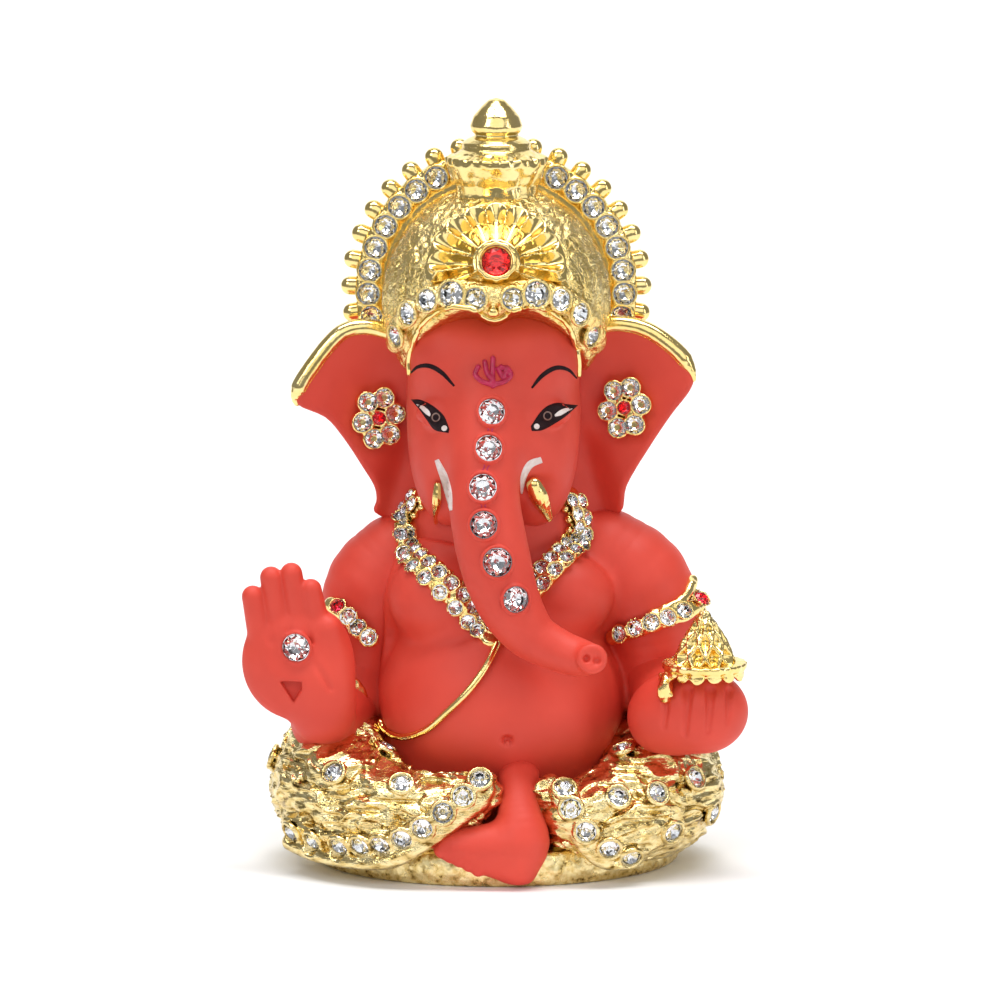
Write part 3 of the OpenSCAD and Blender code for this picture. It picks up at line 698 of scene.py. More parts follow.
def foot_field(p):
    d = join(tube(p, ANKLE), tube(p, SOLE), 0.9)
    d = join(d, capsule(p, (2.2, -15.6, 1.9), (-1.2, -15.9, 2.9), 1.75, 1.5), 0.8)
    for i in range(5):
        x, z = -5.7 + 0.95 * i, 3.9 - 0.50 * i
        d = join(d, capsule(p, (x + 0.5, -16.0, z + 0.5), (x, -16.6, z), 0.70, 0.58), 0.4)
    for x, z in ((-4.7, 3.2), (-3.7, 2.7), (-2.7, 2.2)):
        d = cut(d, capsule(p, (x, -17.3, z - 0.5), (x + 1.0, -17.9, z + 0.7), 0.22, 0.10), 0.4)
    return overlap(d, -(p[2] - 0.35), 0.3)


sculpt("foot", foot_field, (-7.6, -19, 0), (5.6, -10, 11.4), FINE, CORAL)


# ---------------------------------------------------------------- base strip
def base_field(p):
    flat = (p - column((0, -0.6, 1.9))) * column((1, 1, 0))
    d = ellipsoid(flat, (0, 0, 0), (19.2, 15.4, 100))
    leaves = noise(p, 1.6, 21) * 0.22 + noise(p, 0.8, 22) * 0.10
    side = d - 0.25 * np.sin(np.clip((p[2] - 0.2) / 3.4, 0, 1) * math.pi) - leaves * np.clip(p[2] - 0.3, 0, 1)
    return overlap(side, np.abs(p[2] - 1.8) - 1.8, 0.7)


sculpt("base", base_field, (-21, -18, -0.6), (21, 16.4, 4.4), MEDIUM, GOLD_BASE)


# ---------------------------------------------------------------- crown
DOME_C, DOME_R = (0.0, 0.8, 59.0), 11.8
RUBY_LIFT = math.radians(25)  # how far the crown's red stone sits above the dome's middle
HALO_C = (0.0, 3.6, 59.8)
HALO_R, HALO_STONE_R = 14.8, 13.4


def compass(turn, lift):
    """Direction for a turn from the front and a lift, in radians."""
    return np.array([math.sin(turn) * math.cos(lift), -math.cos(turn) * math.cos(lift), math.sin(lift)])


RUBY_WAY = compass(0.0, RUBY_LIFT)


def crown_edge(p):
    """Height of the crown's lower edge: high over the brow with a point in the middle, low at the nape."""
    point = 1.4 * np.exp(-((p[0] + 0.2) / 1.5) ** 2)
    return np.maximum(60.0 - 0.45 * (p[1] + 10.6) - point - 0.042 * p[0] ** 2, 48.6)


def band_lift(turn):
    side = np.abs(np.degrees(turn)) / 74
    dip = 4 * (1 - np.minimum(np.abs(np.degrees(turn)), 26) / 26) ** 2
    return np.radians(13 - 40 * side ** 2.4 - dip)


BAND_TURNS = np.radians(np.linspace(-68, 68, 25))
BAND = np.array([[*(np.array(DOME_C) + compass(t, band_lift(t)) * DOME_R), 1.15] for t in BAND_TURNS])


def fan(q):
    """How far a point is from the way of the red stone, and its turn round that way, in radians."""
    way = q / np.maximum(length(q), 1e-6)
    lift = np.arctan2(way[2], -way[1])
    turn = np.arctan2(way[0], np.sin(lift - RUBY_LIFT) * np.hypot(way[1], way[2]))
    return np.arccos(np.clip((way * column(RUBY_WAY)).sum(axis=0), -1, 1)), turn


def crown_form(p):
    q = p - column(DOME_C)
    turn = np.arctan2(q[0], -q[1])
    lift = np.arctan2(q[2], np.hypot(q[0], q[1]))
    grain = 0.06 * noise(p, 1.05, 31) + 0.24 * noise(p, 0.50, 32)
    low_side = 1 / (1 + np.exp((lift - 0.30) * 12)) / (1 + np.exp((0.62 - np.abs(turn)) * 9))
    flutes = 0.32 * np.abs(np.sin(turn * 17 + 0.5)) * low_side
    back = 1 / (1 + np.exp((1.5 - np.abs(turn)) * 8))
    flutes = flutes * (1 - back) + back * 0.34 * np.abs(np.sin(turn * 12))
    reach, fan_turn = fan(q)
    sunk = 0.9 * np.clip((0.60 - reach) / 0.06, 0, 1) * np.clip((2.0 - np.abs(fan_turn)) / 0.2, 0, 1)
    d = length(q) - DOME_R - grain * (1 - 0.7 * low_side) * (1 - 0.6 * back) - flutes + 0.1 + sunk
    d = join(d, tube(p, BAND) - 0.12 * noise(p, 0.8, 33), 0.4)
    d = overlap(d, crown_edge(p) - p[2], 0.5)
    return cut(d, ellipsoid(p, (-0.3, -0.2, 48.3), (8.9, 9.0, 11.6)), 0.3)


BROW_STONES = [[1.95, 58.5, 1.05], [4.4, 59.0, 1.25], [6.9, 58.4, 1.05], [8.9, 57.0, 1.05],
               [10.1, 54.7, 1.05]]
dome = partial(ball, centre=DOME_C, radius=DOME_R)
band_seats = [on_field(crown_form, -0.25 + side * x, up, r, 0.2, dome)
              for x, up, r in BROW_STONES for side in (-1, 1)]
crown_field = seated(crown_form, band_seats)
sculpt("crown", crown_field, (-13.2, -12.8, 46), (13.2, 13.4, 71.8), ORNAMENT, GOLD_GRAIN, "crown_dome")


PETALS = 17  # round the whole circle; only those above the brow are made
SUNBURST_LOW = 62.0  # height of the fan's lower edge


def sunburst_field(p):
    """Hollowed petals with ridges between them and rounded tips, fanned out from the red stone."""
    q = p - column(DOME_C)
    reach, turn = fan(q)
    across = np.abs(np.cos(turn * PETALS / 2))
    tip = 0.54 + 0.10 * np.sqrt(across)
    hollow = across ** 0.6 * np.clip((tip - 0.04 - reach) / 0.12, 0, 1) * np.clip((reach - 0.19) / 0.06, 0, 1)
    tall = 0.10 + 0.95 * np.clip((tip - reach) / 0.05, 0, 1) - 1.55 * hollow
    d = np.maximum(length(q) - DOME_R - tall, DOME_R - 1.1 - length(q))
    d = np.maximum(d, (reach - 0.66) * DOME_R)
    d = np.maximum(d, (np.abs(turn) - 2.05) * 3)
    return overlap(d * 0.6, SUNBURST_LOW - p[2], 0.2)


sculpt("sunburst", sunburst_field, (-9.6, -14.2, 57), (9.6, -3, 72), FILIGREE, GOLD, "crown_sunburst")

RUBY_AT = np.array(DOME_C) + RUBY_WAY * (DOME_R + 0.9)
RUBY_R = 1.62


def bezel_field(p):
    q = p - column(RUBY_AT)
    along, away = axial(p, RUBY_AT, RUBY_WAY)
    claws = 0.06 * np.cos(np.arctan2(q[0], q[2] * math.cos(RUBY_LIFT)) * 10)
    cup = overlap(away - 2.15 - claws, np.abs(along + 0.45) - 0.75, 0.3)
    return cut(cup, overlap(away - RUBY_R, -along - 0.15, 0.1), 0.2)


sculpt("ruby_bezel", bezel_field, RUBY_AT - 3, RUBY_AT + 3, SMALL, GOLD)


HAIRLINE = curve([[-9.0, 50.8], [-9.0, 52.4], [-8.3, 54.8], [-6.9, 56.7], [-4.5, 57.7], [-2.2, 57.3],
                  [-0.2, 56.4], [1.8, 57.3], [4.2, 57.7], [6.6, 56.6], [8.0, 54.6], [8.5, 52.2],
                  [8.5, 50.6]], 4)
hairline = laid(lambda p: np.minimum(head_form(p), crown_field(p)), HAIRLINE, 0.30, 0.1)
drop_at = on_field(crown_field, -0.25, 57.6, 0.6, 0.5)[0]  # the drop over the middle of the forehead


def hairline_field(p):
    drop = join(ball(p, drop_at, 0.62), ball(p, drop_at + np.array([0, -0.1, 0.95]), 0.36), 0.25)
    return np.minimum(tube(p, hairline), drop)


sculpt("crown_trim", hairline_field, (-12, -13, 47), (12, 4, 62), FILIGREE, GOLD)


def round_halo(angle, radius, y=0.0):
    """The place at an angle from the top of the halo."""
    return np.array(HALO_C) + np.array([radius * math.sin(angle), y, radius * math.cos(angle)])


def halo_form(p):
    q = p - column(HALO_C)
    r, turn, y = np.hypot(q[0], q[2]), np.arctan2(q[0], q[2]), q[1]
    d = overlap(r - HALO_R + 0.1 * np.cos(turn * 34), np.abs(y) - 1.0, 0.5)
    ring = overlap(np.abs(r - HALO_STONE_R) - 1.25, np.abs(y) - 1.25 - 0.10 * noise(p, 0.8, 41), 0.3)
    d = join(d, ring, 0.2)
    d = overlap(d, 54.6 - p[2], 0.6)
    return cut(d, r - 11.0, 0.3)


HALO_PITCH = 10.6  # degrees from one stone or bead to the next
HALO_STONES = [side * math.radians(28 + HALO_PITCH * i) for side in (-1, 1) for i in range(8)]
HALO_BEADS = [side * math.radians(14.5 + HALO_PITCH * i) for side in (-1, 1) for i in range(9)]
halo_seats = [(round_halo(a, HALO_STONE_R, -1.35), np.array([0.0, -1.0, 0.0]), 1.1) for a in HALO_STONES]


def halo_beads_field(p):
    return np.minimum.reduce([capsule(p, round_halo(a, 14.8), round_halo(a, 15.3), 1.0) for a in HALO_BEADS])


halo_field = seated(halo_form, halo_seats, 0.16)
sculpt("halo", halo_field, (-15.6, 1.6, 53.6), (15.6, 5.6, 75.4), ORNAMENT, GOLD_FINE, "crown_halo")
sculpt("halo_beads", halo_beads_field, (-17, 2.4, 55), (17, 4.9, 76.8), ORNAMENT, GOLD)

FINIAL = np.array([[0, 69], [4.2, 69], [4.1, 71.2], [4.6, 72.3], [5.2, 73.3], [5.2, 73.9], [4.3, 74.3],
                   [3.55, 74.8], [3.55, 75.4], [3.0, 75.8], [2.1, 76.2], [2.55, 76.7], [2.7, 77.2],
                   [2.35, 78.2], [1.5, 79.2], [0.8, 79.85], [0, 80.05]])


def finial_field(p):
    q = p - column(DOME_C)
    out, turn = np.hypot(q[0], q[1]), np.arctan2(q[0], -q[1])
    petals = 0.28 * np.abs(np.sin(turn * 6)) * np.exp(-((p[2] - 71.9) / 1.2) ** 2)
    notches = 0.08 * np.cos(turn * 26) * np.exp(-((p[2] - 73.8) / 0.5) ** 2)
    dents = 0.12 * noise(p, 0.9, 51) * (p[2] < 74.4)
    return outline_distance(out, p[2], FINIAL) - 0.06 - petals - notches - dents


sculpt("finial", finial_field, (-6, -5.2, 68.6), (6, 6.8, 80.6), TRIM, GOLD_FINE, "crown_finial")


# ---------------------------------------------------------------- tusks and forehead mark
def lift_point(field, across, up, lift):
    p = seen(field, across, up)
    return (p + slope(field, p) * lift)[:, 0]


TUSKS = {"right": ((-6.2, 39.2, 0.34), (-6.15, 37.4, 0.48), (-6.2, 35.3, 0.24)),
         "left": ((3.6, 39.5, 0.82), (4.15, 37.9, 0.98), (5.35, 35.8, 0.38))}
for name, path in TUSKS.items():
    line = np.array([[*lift_point(head_form, x, up, 0.8 * r), r] for x, up, r in path])
    low, high = line[:, :3].min(0) - 1.6, line[:, :3].max(0) + 1.6
    sculpt(name + "_tusk", partial(tube, stations=curve(line, 4)), low, high, SMALL, GOLD)

TILAK = [[[-1.9, 51.4], [-2.2, 50.6], [-1.5, 49.9], [-0.4, 49.5]],
         [[-0.35, 52.3], [-0.4, 51.0], [-0.35, 49.4]],
         [[1.1, 51.3], [1.5, 50.6], [0.9, 49.9], [-0.4, 49.5]],
         [[-1.2, 51.9], [-1.0, 50.8], [-0.5, 50.1]],
         [[0.2, 51.2], [0.6, 50.4], [1.0, 51.1], [0.5, 51.4]]]
tilak_lines = [laid(head_form, curve(line, 3), 0.27, 0.06) for line in TILAK]


def tilak_field(p):
    d = tube(p, tilak_lines[0])
    for line in tilak_lines[1:]:
        d = join(d, tube(p, line), 0.15)
    return d


sculpt("tilak", tilak_field, (-3.2, -12, 49.8), (2.4, -8, 55.6), TINY, MAGENTA)


# ---------------------------------------------------------------- necklace, armlets, bracelet
NECK_RIGHT = curve([[-7.8, 37.6], [-9.2, 35.8], [-9.3, 33.4], [-8.6, 31.3], [-7.0, 29.7], [-4.6, 27.5],
                    [-2.5, 25.3], [-0.5, 22.9]], 4)
NECK_LEFT = curve([[7.6, 37.6], [8.3, 35.6], [8.3, 33.6], [7.6, 32.0], [6.2, 30.5], [4.6, 28.8],
                   [3.0, 27.0], [-0.5, 22.9]], 4)
NECK_STONE_R = 0.70
neck_lines = [laid(body_field, path, 1.25, 0.2) for path in (NECK_RIGHT, NECK_LEFT)]


def even(line, count, start=0.0, end=1.0):
    """Points spaced evenly along a line of stations."""
    line = np.asarray(line)[:, :3]
    run = np.concatenate([[0], np.cumsum(np.linalg.norm(np.diff(line, axis=0), axis=1))])
    at = np.linspace(start, end, count) * run[-1]
    return np.column_stack([np.interp(at, run, line[:, k]) for k in range(3)])


def sideways(line, out, amount):
    """The line moved across the surface it lies on."""
    line = np.asarray(line)[:, :3]
    way = np.gradient(line, axis=0)
    side = np.cross(way, out)
    return line + side / np.maximum(np.linalg.norm(side, axis=1, keepdims=True), 1e-6) * amount


def outward(field, points):
    return slope(field, np.asarray(points, np.float32).T).T


scallops, neck_seats = [], []
for line, hand in zip(neck_lines, (1, -1)):
    out = outward(body_field, line[:, :3])
    scallops.append(even(sideways(line, out, -hand * 1.5), 17))
    for row, count in ((-0.66, 14), (0.66, 12)):
        for spot in even(sideways(line, out, hand * row), count, 0.03, 0.94):
            way = outward(body_field, [spot])[0]
            neck_seats.append((spot + way * (1.0 - body_field(column(spot))[0]), way, NECK_STONE_R))


def necklace_form(p):
    d = np.minimum(tube(p, neck_lines[0]), tube(p, neck_lines[1]))
    d = overlap(d, body_field(p) - 0.95, 0.25)
    for spots in scallops:
        for c in spots:
            d = join(d, ball(p, c, 0.46), 0.12)
    return overlap(d, -(body_field(p) + 0.5), 0.1)


necklace_field = seated(necklace_form, neck_seats, 0.12)
sculpt("necklace", necklace_field, (-12.6, -14.6, 23), (11.6, 0.6, 41), TRIM, GOLD_FINE)

LEFT_ARMLET = curve([[12.4, 23.3], [15.3, 24.2], [17.6, 25.0], [19.9, 25.9], [21.2, 27.4]], 4)
LEFT_ARMLET_TOP = curve([[16.4, 25.7], [18.6, 26.6], [20.0, 28.0], [20.6, 30.2], [20.5, 31.4]], 4)
RIGHT_ARMLET = curve([[-17.0, 26.6], [-15.6, 25.5], [-14.4, 24.1], [-13.2, 23.0]], 4)
left_armlet_line = laid(body_field, LEFT_ARMLET, 0.85, 0.25)
left_top_line = laid(body_field, LEFT_ARMLET_TOP, 0.55, 0.15)
right_armlet_line = laid(body_field, RIGHT_ARMLET, 0.85, 0.25)


def arm_ring(p, centre, way, radius, width):
    """A plain ring round an arm, for the parts of an armlet that are out of sight from the front."""
    along, away = axial(p, centre, np.asarray(way) / np.linalg.norm(way))
    return overlap(np.abs(away - radius) - 0.7, np.abs(along) - width / 2, 0.3)


def left_armlet_form(p):
    d = tube(p, left_armlet_line) - 0.08 * noise(p, 0.7, 71)
    d = join(d, tube(p, left_top_line) - 0.16 * noise(p, 0.8, 72), 0.4)
    ring = overlap(arm_ring(p, (16.8, 2.2, 24.4), (0.2, 0.0, -1.0), 4.9, 2.0), -(p[1] - 0.5), 0.4)
    return join(d, ring, 0.4)


def right_armlet_form(p):
    d = tube(p, right_armlet_line) - 0.08 * noise(p, 0.7, 73)
    ring = overlap(arm_ring(p, (-14.3, 2.4, 24.0), (-0.1, 0.0, -1.0), 4.4, 2.0), -(p[1] - 0.5), 0.4)
    return join(d, ring, 0.4)


LEFT_ARM_STONES = [[12.9, 23.5], [14.5, 24.1], [16.2, 24.7], [17.9, 25.2], [19.6, 25.9]]
RIGHT_ARM_STONES = [[-15.5, 25.3], [-14.5, 24.2], [-13.4, 23.2]]
left_arm_seats = [on_field(left_armlet_form, x, up, 0.8) for x, up in LEFT_ARM_STONES]
left_ruby_seats = [on_field(left_armlet_form, 21.4, 27.2, 0.85)]
right_arm_seats = [on_field(right_armlet_form, x, up, 0.8) for x, up in RIGHT_ARM_STONES]
right_ruby_seats = [on_field(right_armlet_form, -16.6, 26.4, 0.7)]
left_armlet_field = seated(left_armlet_form, left_arm_seats + left_ruby_seats, 0.14)
right_armlet_field = seated(right_armlet_form, right_arm_seats + right_ruby_seats, 0.14)
sculpt("left_armlet", left_armlet_field, (10, -6, 21), (24, 9, 34), ORNAMENT, GOLD_FINE)
sculpt("right_armlet", right_armlet_field, (-20.4, -6, 20.6), (-8.4, 9, 29.4), ORNAMENT, GOLD_FINE)


def bracelet_field(p):
    ring = arm_ring(p, (-17.4, -4.2, 16.2), (0.5, -1.0, 0.1), 3.75, 1.3)
    return ring - 0.10 * noise(p, 0.8, 74)


sculpt("right_bracelet", bracelet_field, (-23, -9, 10.6), (-11.6, 0.6, 22), ORNAMENT, GOLD_FINE)


# ---------------------------------------------------------------- dish of sweets
DISH_C = (21.5, -11.4, 22.3)
HEAP = curve([[0, -0.2], [2.6, -0.2], [2.75, 0.5], [2.45, 1.5], [1.8, 2.9], [1.1, 4.1], [0.6, 4.9],
              [0.45, 5.3], [0, 5.35]], 3)
DISH = np.array([[0, -0.35], [3.6, -0.35], [4.2, 0.05], [4.25, 0.45], [3.9, 0.55], [0, 0.45]])


def around(p, centre):
    q = p - column(centre)
    return np.hypot(q[0], q[1]), np.arctan2(q[0], -q[1]), q[2]


def heap_field(p):
    r, turn, z = around(p, DISH_C)
    size = np.clip(1.15 - z / 6, 0.2, 1)
    lattice = np.maximum(np.abs(np.sin(turn * 5 + z * 1.1)), np.abs(np.sin(turn * 5 - z * 1.1))) ** 3
    pits = (1 - lattice) * size * (z > 0.2)
    return outline_distance(r, z - 0.5, HEAP) - 0.42 * size + pits - 0.10 * noise(p, 0.6, 81)


def dish_field(p):
    r, turn, z = around(p, DISH_C)
    d = outline_distance(r, z, DISH) - 0.12 - 0.05 * np.cos(turn * 20)
    fringe = overlap(np.abs(r - 3.8) - 0.30, np.abs(z + 0.6) - 0.55 * np.abs(np.sin(turn * 7)), 0.2)
    d = join(d, fringe - 0.10 * noise(p, 0.7, 82), 0.25)
    tassel = ellipsoid(p, (17.4, -12.4, 20.4), (0.9, 1.1, 1.7)) - 0.42 * noise(p, 0.7, 83)
    return join(d, tassel, 0.3)


sculpt("modak", heap_field, (16.6, -16.2, 20.4), (26.2, -6.6, 28.6), FILIGREE, GOLD_FINE)
sculpt("modak_plate", dish_field, (15.4, -16.6, 17.8), (27.2, -6.2, 24.0), TRIM, GOLD_FINE)


# ---------------------------------------------------------------- earrings
EARRINGS = {"right": (-12.6, 46.1), "left": (13.7, 47.2)}  # mm across and up the view
PETAL_RING = (1.80, 2.25)  # the ring of petals is narrower across than up
PETAL_R, EARRING_RUBY_R = 0.94, 0.66


def basis(out, up=(0, 0, 1)):
    """Two directions square to out: across and up."""
    out = np.asarray(out, float) / np.linalg.norm(out)
    across = np.cross(up, out)
    across /= np.linalg.norm(across)
    return across, np.cross(out, across), out


def flower(side, name):
    """The places of an earring's petals and of its middle, with the way it faces."""
    across, up, out = basis((-0.25 * side, -1.0, 0.10))
    at = seen(partial(ear_field, side=side), *EARRINGS[name])[:, 0] + out * 1.7
    wide, tall = across * PETAL_RING[0], up * PETAL_RING[1]
    return at, out, [at + wide * math.sin(a) + tall * math.cos(a) for a in np.radians(np.arange(6) * 60 + 20)]


FLOWERS = {"right": flower(-1, "right"), "left": flower(1, "left")}


def setting_field(p, at, out, petals):
    """Joined cups for the petals and the middle, each hollowed for its stone."""
    places = [(*axial(p, spot, out), PETAL_R) for spot in petals] + [(*axial(p, at, out), EARRING_RUBY_R)]
    cups = [overlap(away - r - 0.22, np.abs(along + 0.65) - 0.75, 0.25) for along, away, r in places]
    d = cups[0]
    for cup in cups[1:]:
        d = join(d, cup, 0.25)
    for along, away, r in places:
        d = cut(d, overlap(away - r, -along - 0.35, 0.1), 0.12)
    return d - 0.03 * noise(p, 0.5, 91)


for name, (at, out, petals) in FLOWERS.items():
    setting = partial(setting_field, at=at, out=out, petals=petals)
    sculpt(name + "_earring_setting", setting, at - 4.6, at + 4.6, FILIGREE, GOLD)


# ---------------------------------------------------------------- stones
PAVILION = 0.55  # depth of a stone below its girdle, of its radius


def ring(at, out, radius, height, turns):
    """Points round the line through at along out."""
    across, up, out = basis(out)
    return [at + out * height + radius * (across * math.cos(a) + up * math.sin(a)) for a in turns]


def stone_mesh(at, out, r, sides, turn):
    """A cut stone: table, crown facets, girdle and pavilion."""
    facets = turn + np.arange(sides) * 2 * math.pi / sides
    between = facets + math.pi / sides
    points = ring(at, out, r * 0.52, r * 0.42, between) + ring(at, out, r * 0.80, r * 0.24, facets)
    points += ring(at, out, r, 0.02, between) + [at - basis(out)[2] * r * PAVILION]
    faces = [list(range(sides))]
    for i in range(sides):
        j, back = (i + 1) % sides, (i - 1) % sides
        faces += [[sides + i, i, back], [i, sides + i, 2 * sides + i], [i, 2 * sides + i, sides + j],
                  [sides + i, 2 * sides + back, 2 * sides + i], [2 * sides + j, 2 * sides + i, 3 * sides]]
    return points, faces


def foil_mesh(at, out, r, sides, turn):
    """A thin closed cup behind the stone."""
    turns = turn + (np.arange(sides) + 0.5) * 2 * math.pi / sides
    points = []
    for grow in (0.03, 0.12):
        points += ring(at, out, r + grow, -0.02, turns) + [at - basis(out)[2] * (r * PAVILION + grow)]
    inner, outer = sides, 2 * sides + 1
    faces = []
    for i in range(sides):
        j = (i + 1) % sides
        faces += [[i, j, inner], [sides + 1 + j, sides + 1 + i, outer], [j, i, sides + 1 + i, sides + 1 + j]]
    return points, faces


def set_stones(name, stones, glass=CLEAR, backing=CLEAR_FOIL):
    """Stones are (centre, way out, radius); one mesh holds the cut stones and one their foils."""
    for suffix, build, material in (("", stone_mesh, glass), ("_foil", foil_mesh, backing)):
        points, faces = [], []
        for i, (at, out, r) in enumerate(stones):
            sides = 8 if r < 1.3 else 10
            some, some_faces = build(np.asarray(at, float), out, r, sides, 0.4 * i)
            faces += [[k + len(points) for k in face] for face in some_faces]
            points += some
        place(add_mesh(name + suffix, points, faces, smooth=False), material, name)


set_stones("crown_band_stones", band_seats)
set_stones("halo_stones", halo_seats)
set_stones("trunk_stones", trunk_seats)
set_stones("palm_stone", palm_seats)
set_stones("crown_ruby", [(RUBY_AT, RUBY_WAY, RUBY_R)], RUBY, RUBY_FOIL)
set_stones("necklace_stones", neck_seats)
set_stones("left_armlet_stones", left_arm_seats)
set_stones("right_armlet_stones", right_arm_seats)
set_stones("armlet_rubies", left_ruby_seats + right_ruby_seats, RUBY, RUBY_FOIL)
for name, seats in leg_seats.items():
    set_stones(name + "_dhoti_stones", seats)
for name, (at, out, petals) in FLOWERS.items():
    set_stones(name + "_earring_stones", [(spot, out, PETAL_R) for spot in petals])
set_stones("earring_rubies", [(at, out, EARRING_RUBY_R) for at, out, _ in FLOWERS.values()], RUBY, RUBY_FOIL)


# ---------------------------------------------------------------- painted face
def painted(name, lower, upper, material, lift, columns=5):
    """A thin coat of paint on the head between two edges, each a list of (across, up)."""
    lower, upper = np.asarray(lower, float), np.asarray(upper, float)
    t = np.linspace(0, 1, columns)[None, :, None]
    flat = (lower[:, None, :] * (1 - t) + upper[:, None, :] * t).reshape(-1, 2)
    at = seen(head_form, flat[:, 0], flat[:, 1])
    out = slope(head_form, at)
    top, under = (at + out * lift).T, (at - out * 0.12).T
    n, total = len(lower), len(flat)
    faces = []
    for i in range(n - 1):
        for j in range(columns - 1):
            a, b = i * columns + j, (i + 1) * columns + j
            faces.append([a, b, b + 1, a + 1])
            faces.append([a + 1 + total, b + 1 + total, b + total, a + total])
    edge = [i * columns for i in range(n)] + [(n - 1) * columns + j for j in range(1, columns)]
    edge += [i * columns + columns - 1 for i in range(n - 2, -1, -1)] + list(range(columns - 2, 0, -1))
    for a, b in zip(edge, edge[1:] + edge[:1]):
        faces.append([b, a, a + total, b + total])
    place(add_mesh(name, np.vstack([top, under]), faces), material)


def stroke(name, path, widths, material, lift):
    """A brush stroke along (across, up) points with a width at each."""
    line = curve([[*point, width] for point, width in zip(path, widths)], 8)
    way = np.gradient(line[:, :2], axis=0)
    side = np.column_stack([-way[:, 1], way[:, 0]]) / np.linalg.norm(way, axis=1, keepdims=True)
    half = side * line[:, 2:3] / 2
    painted(name, line[:, :2] - half, line[:, :2] + half, material, lift, 6)


def disc(name, x, up, r, material, lift):
    a = np.linspace(-math.pi / 2, math.pi / 2, 13)
    lower, upper = [np.column_stack([x + r * np.sin(a), up + end * r * np.cos(a)]) for end in (-1, 1)]
    painted(name, lower, upper, material, lift)


RIGHT_EYE = dict(upper=[[-8.9, 48.0], [-7.9, 47.95], [-6.6, 47.3], [-5.5, 46.3], [-4.9, 44.9]],
                 lower=[[-8.9, 48.0], [-8.0, 46.9], [-7.2, 45.8], [-6.4, 44.8], [-5.0, 44.5]],
                 wedge=[[-8.3, 47.5], [-7.7, 47.1], [-7.2, 46.65], [-6.9, 46.3]],
                 iris=(-6.3, 46.15), glint=(-5.4, 45.0))
LEFT_EYE = dict(upper=[[8.5, 47.4], [7.4, 47.5], [6.1, 47.6], [4.8, 46.9], [3.6, 45.2]],
                lower=[[8.5, 47.4], [7.3, 46.3], [6.1, 45.5], [4.8, 44.8], [3.7, 44.7]],
                wedge=[[7.9, 47.05], [7.2, 46.85], [6.6, 46.55], [6.1, 46.3]],
                iris=(5.35, 46.3), glint=(4.2, 45.2))


def paint_eye(name, eye):
    painted(name + "_eye_line", curve(eye["lower"], 6), curve(eye["upper"], 6), BLACK, 0.04, 7)
    stroke(name + "_eye_white", eye["wedge"], [0.05, 0.42, 0.48, 0.20], WHITE, 0.06)
    disc(name + "_iris", *eye["iris"], 0.62, BLACK, 0.075)
    disc(name + "_iris_ring", *eye["iris"], 0.46, BROWN, 0.09)
    disc(name + "_pupil", *eye["iris"], 0.32, BLACK, 0.105)
    disc(name + "_eye_glint", *eye["glint"], 0.30, WHITE, 0.07)


paint_eye("right", RIGHT_EYE)
paint_eye("left", LEFT_EYE)

RIGHT_BROW = [[-9.0, 50.7], [-8.2, 51.4], [-7.0, 51.5], [-5.7, 50.8], [-4.4, 49.4]]
LEFT_BROW = [[8.4, 50.2], [7.5, 51.1], [6.2, 51.3], [4.8, 50.5], [3.7, 49.2]]
BROW_WIDTHS = [0.12, 0.34, 0.46, 0.44, 0.20]
stroke("right_brow", RIGHT_BROW, BROW_WIDTHS, BLACK, 0.03)
stroke("left_brow", LEFT_BROW, BROW_WIDTHS, BLACK, 0.03)

RIGHT_STRIPE = [[-6.2, 41.7], [-5.5, 40.0], [-5.0, 38.2], [-4.7, 36.4]]
LEFT_STRIPE = [[4.7, 41.7], [3.5, 41.2], [2.8, 39.9], [2.6, 38.2]]
stroke("right_stripe", RIGHT_STRIPE, [0.40, 0.80, 0.74, 0.22], WHITE, 0.10)
stroke("left_stripe", LEFT_STRIPE, [0.62, 0.74, 0.56, 0.18], WHITE, 0.10)

for i, ((x, up, _), (low_x, low_up, _)) in enumerate(zip(TRUNK_STONES[:3], TRUNK_STONES[1:4])):
    for side in (-1, 1):
        path = [[x + side * 0.5, up - 1.4], [(x + low_x) / 2 + side * 0.18, (up + low_up) / 2],
                [low_x + side * 0.5, low_up + 1.4]]
        stroke(f"trunk_line_{i}_{side + 1}", path, [0.10, 0.16, 0.10], MAGENTA, 0.04)


# ---------------------------------------------------------------- studio
def backdrop_paper():
    look = Look("backdrop_paper")
    colour = look.ramp(look.noise(0.01), (0.3, (0.90, 0.90, 0.90)), (0.7, (0.93, 0.93, 0.93)))
    return look.set(Base_Color=colour, Roughness=0.9, Specular_IOR_Level=0.1)


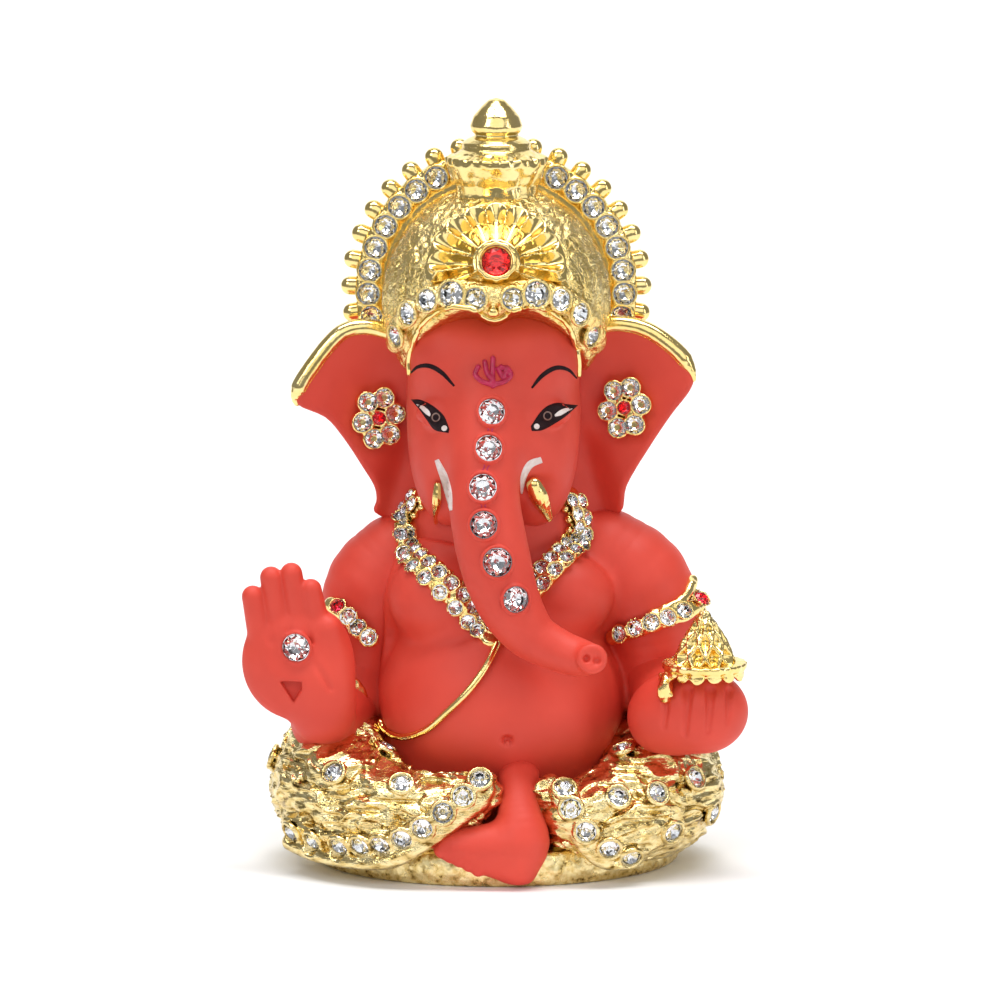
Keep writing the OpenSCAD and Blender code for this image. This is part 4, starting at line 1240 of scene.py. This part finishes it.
SWEEP_FRONT, SWEEP_BACK, SWEEP_BEND = -170, 260, 300  # ends of the flat part and radius of the bend, in mm
SWEEP_TOP, SWEEP_HALF_WIDTH = 900, 420


def add_sweep():
    """A pale sheet that lies under the figure and curves up behind it."""
    bend = [(SWEEP_BACK + SWEEP_BEND * math.sin(a), SWEEP_BEND * (1 - math.cos(a)))
            for a in np.linspace(0.1, math.pi / 2, 12)]
    profile = [(SWEEP_FRONT, 0), (SWEEP_BACK, 0), *bend, (SWEEP_BACK + SWEEP_BEND, SWEEP_TOP)]
    points = [[x, y, z] for x in (-SWEEP_HALF_WIDTH, SWEEP_HALF_WIDTH) for y, z in profile]
    n = len(profile)
    faces = [[i, i + n, i + n + 1, i + 1] for i in range(n - 1)]
    sweep = add_mesh("sweep", points, faces)
    sweep.data.materials.append(backdrop_paper())


def add_softbox(name, place_at, size, watts, colour=(1.0, 1.0, 1.0), target=(0.0, 0.0, 0.04)):
    data = bpy.data.lights.new(name, "AREA")
    data.shape = "RECTANGLE"
    data.size, data.size_y = size
    data.energy = watts
    data.color = colour
    light = bpy.data.objects.new(name, data)
    light.location = place_at
    light.rotation_euler = (Vector(target) - Vector(place_at)).to_track_quat("-Z", "Y").to_euler()
    bpy.context.scene.collection.objects.link(light)


def add_lights():
    add_softbox("key", (-0.50, -0.60, 0.55), (0.35, 0.35), 1.5)
    add_softbox("front", (0.10, -0.80, 0.48), (1.00, 0.60), 1.9)
    add_softbox("fill", (0.70, -0.45, 0.25), (0.16, 0.60), 0.9)
    add_softbox("top", (0.05, 0.02, 0.80), (0.50, 0.30), 1.4)
    add_softbox("backdrop_wash", (0.0, -0.1, 1.1), (1.2, 0.3), 10.0, target=(0.0, 0.55, 0.25))
    world = bpy.data.worlds.new("studio")
    world.use_nodes = True
    shade = world.node_tree.nodes["Background"]
    shade.inputs["Color"].default_value = (0.80, 0.82, 0.85, 1.0)
    shade.inputs["Strength"].default_value = 0.32
    bpy.context.scene.world = world


add_sweep()
add_lights()
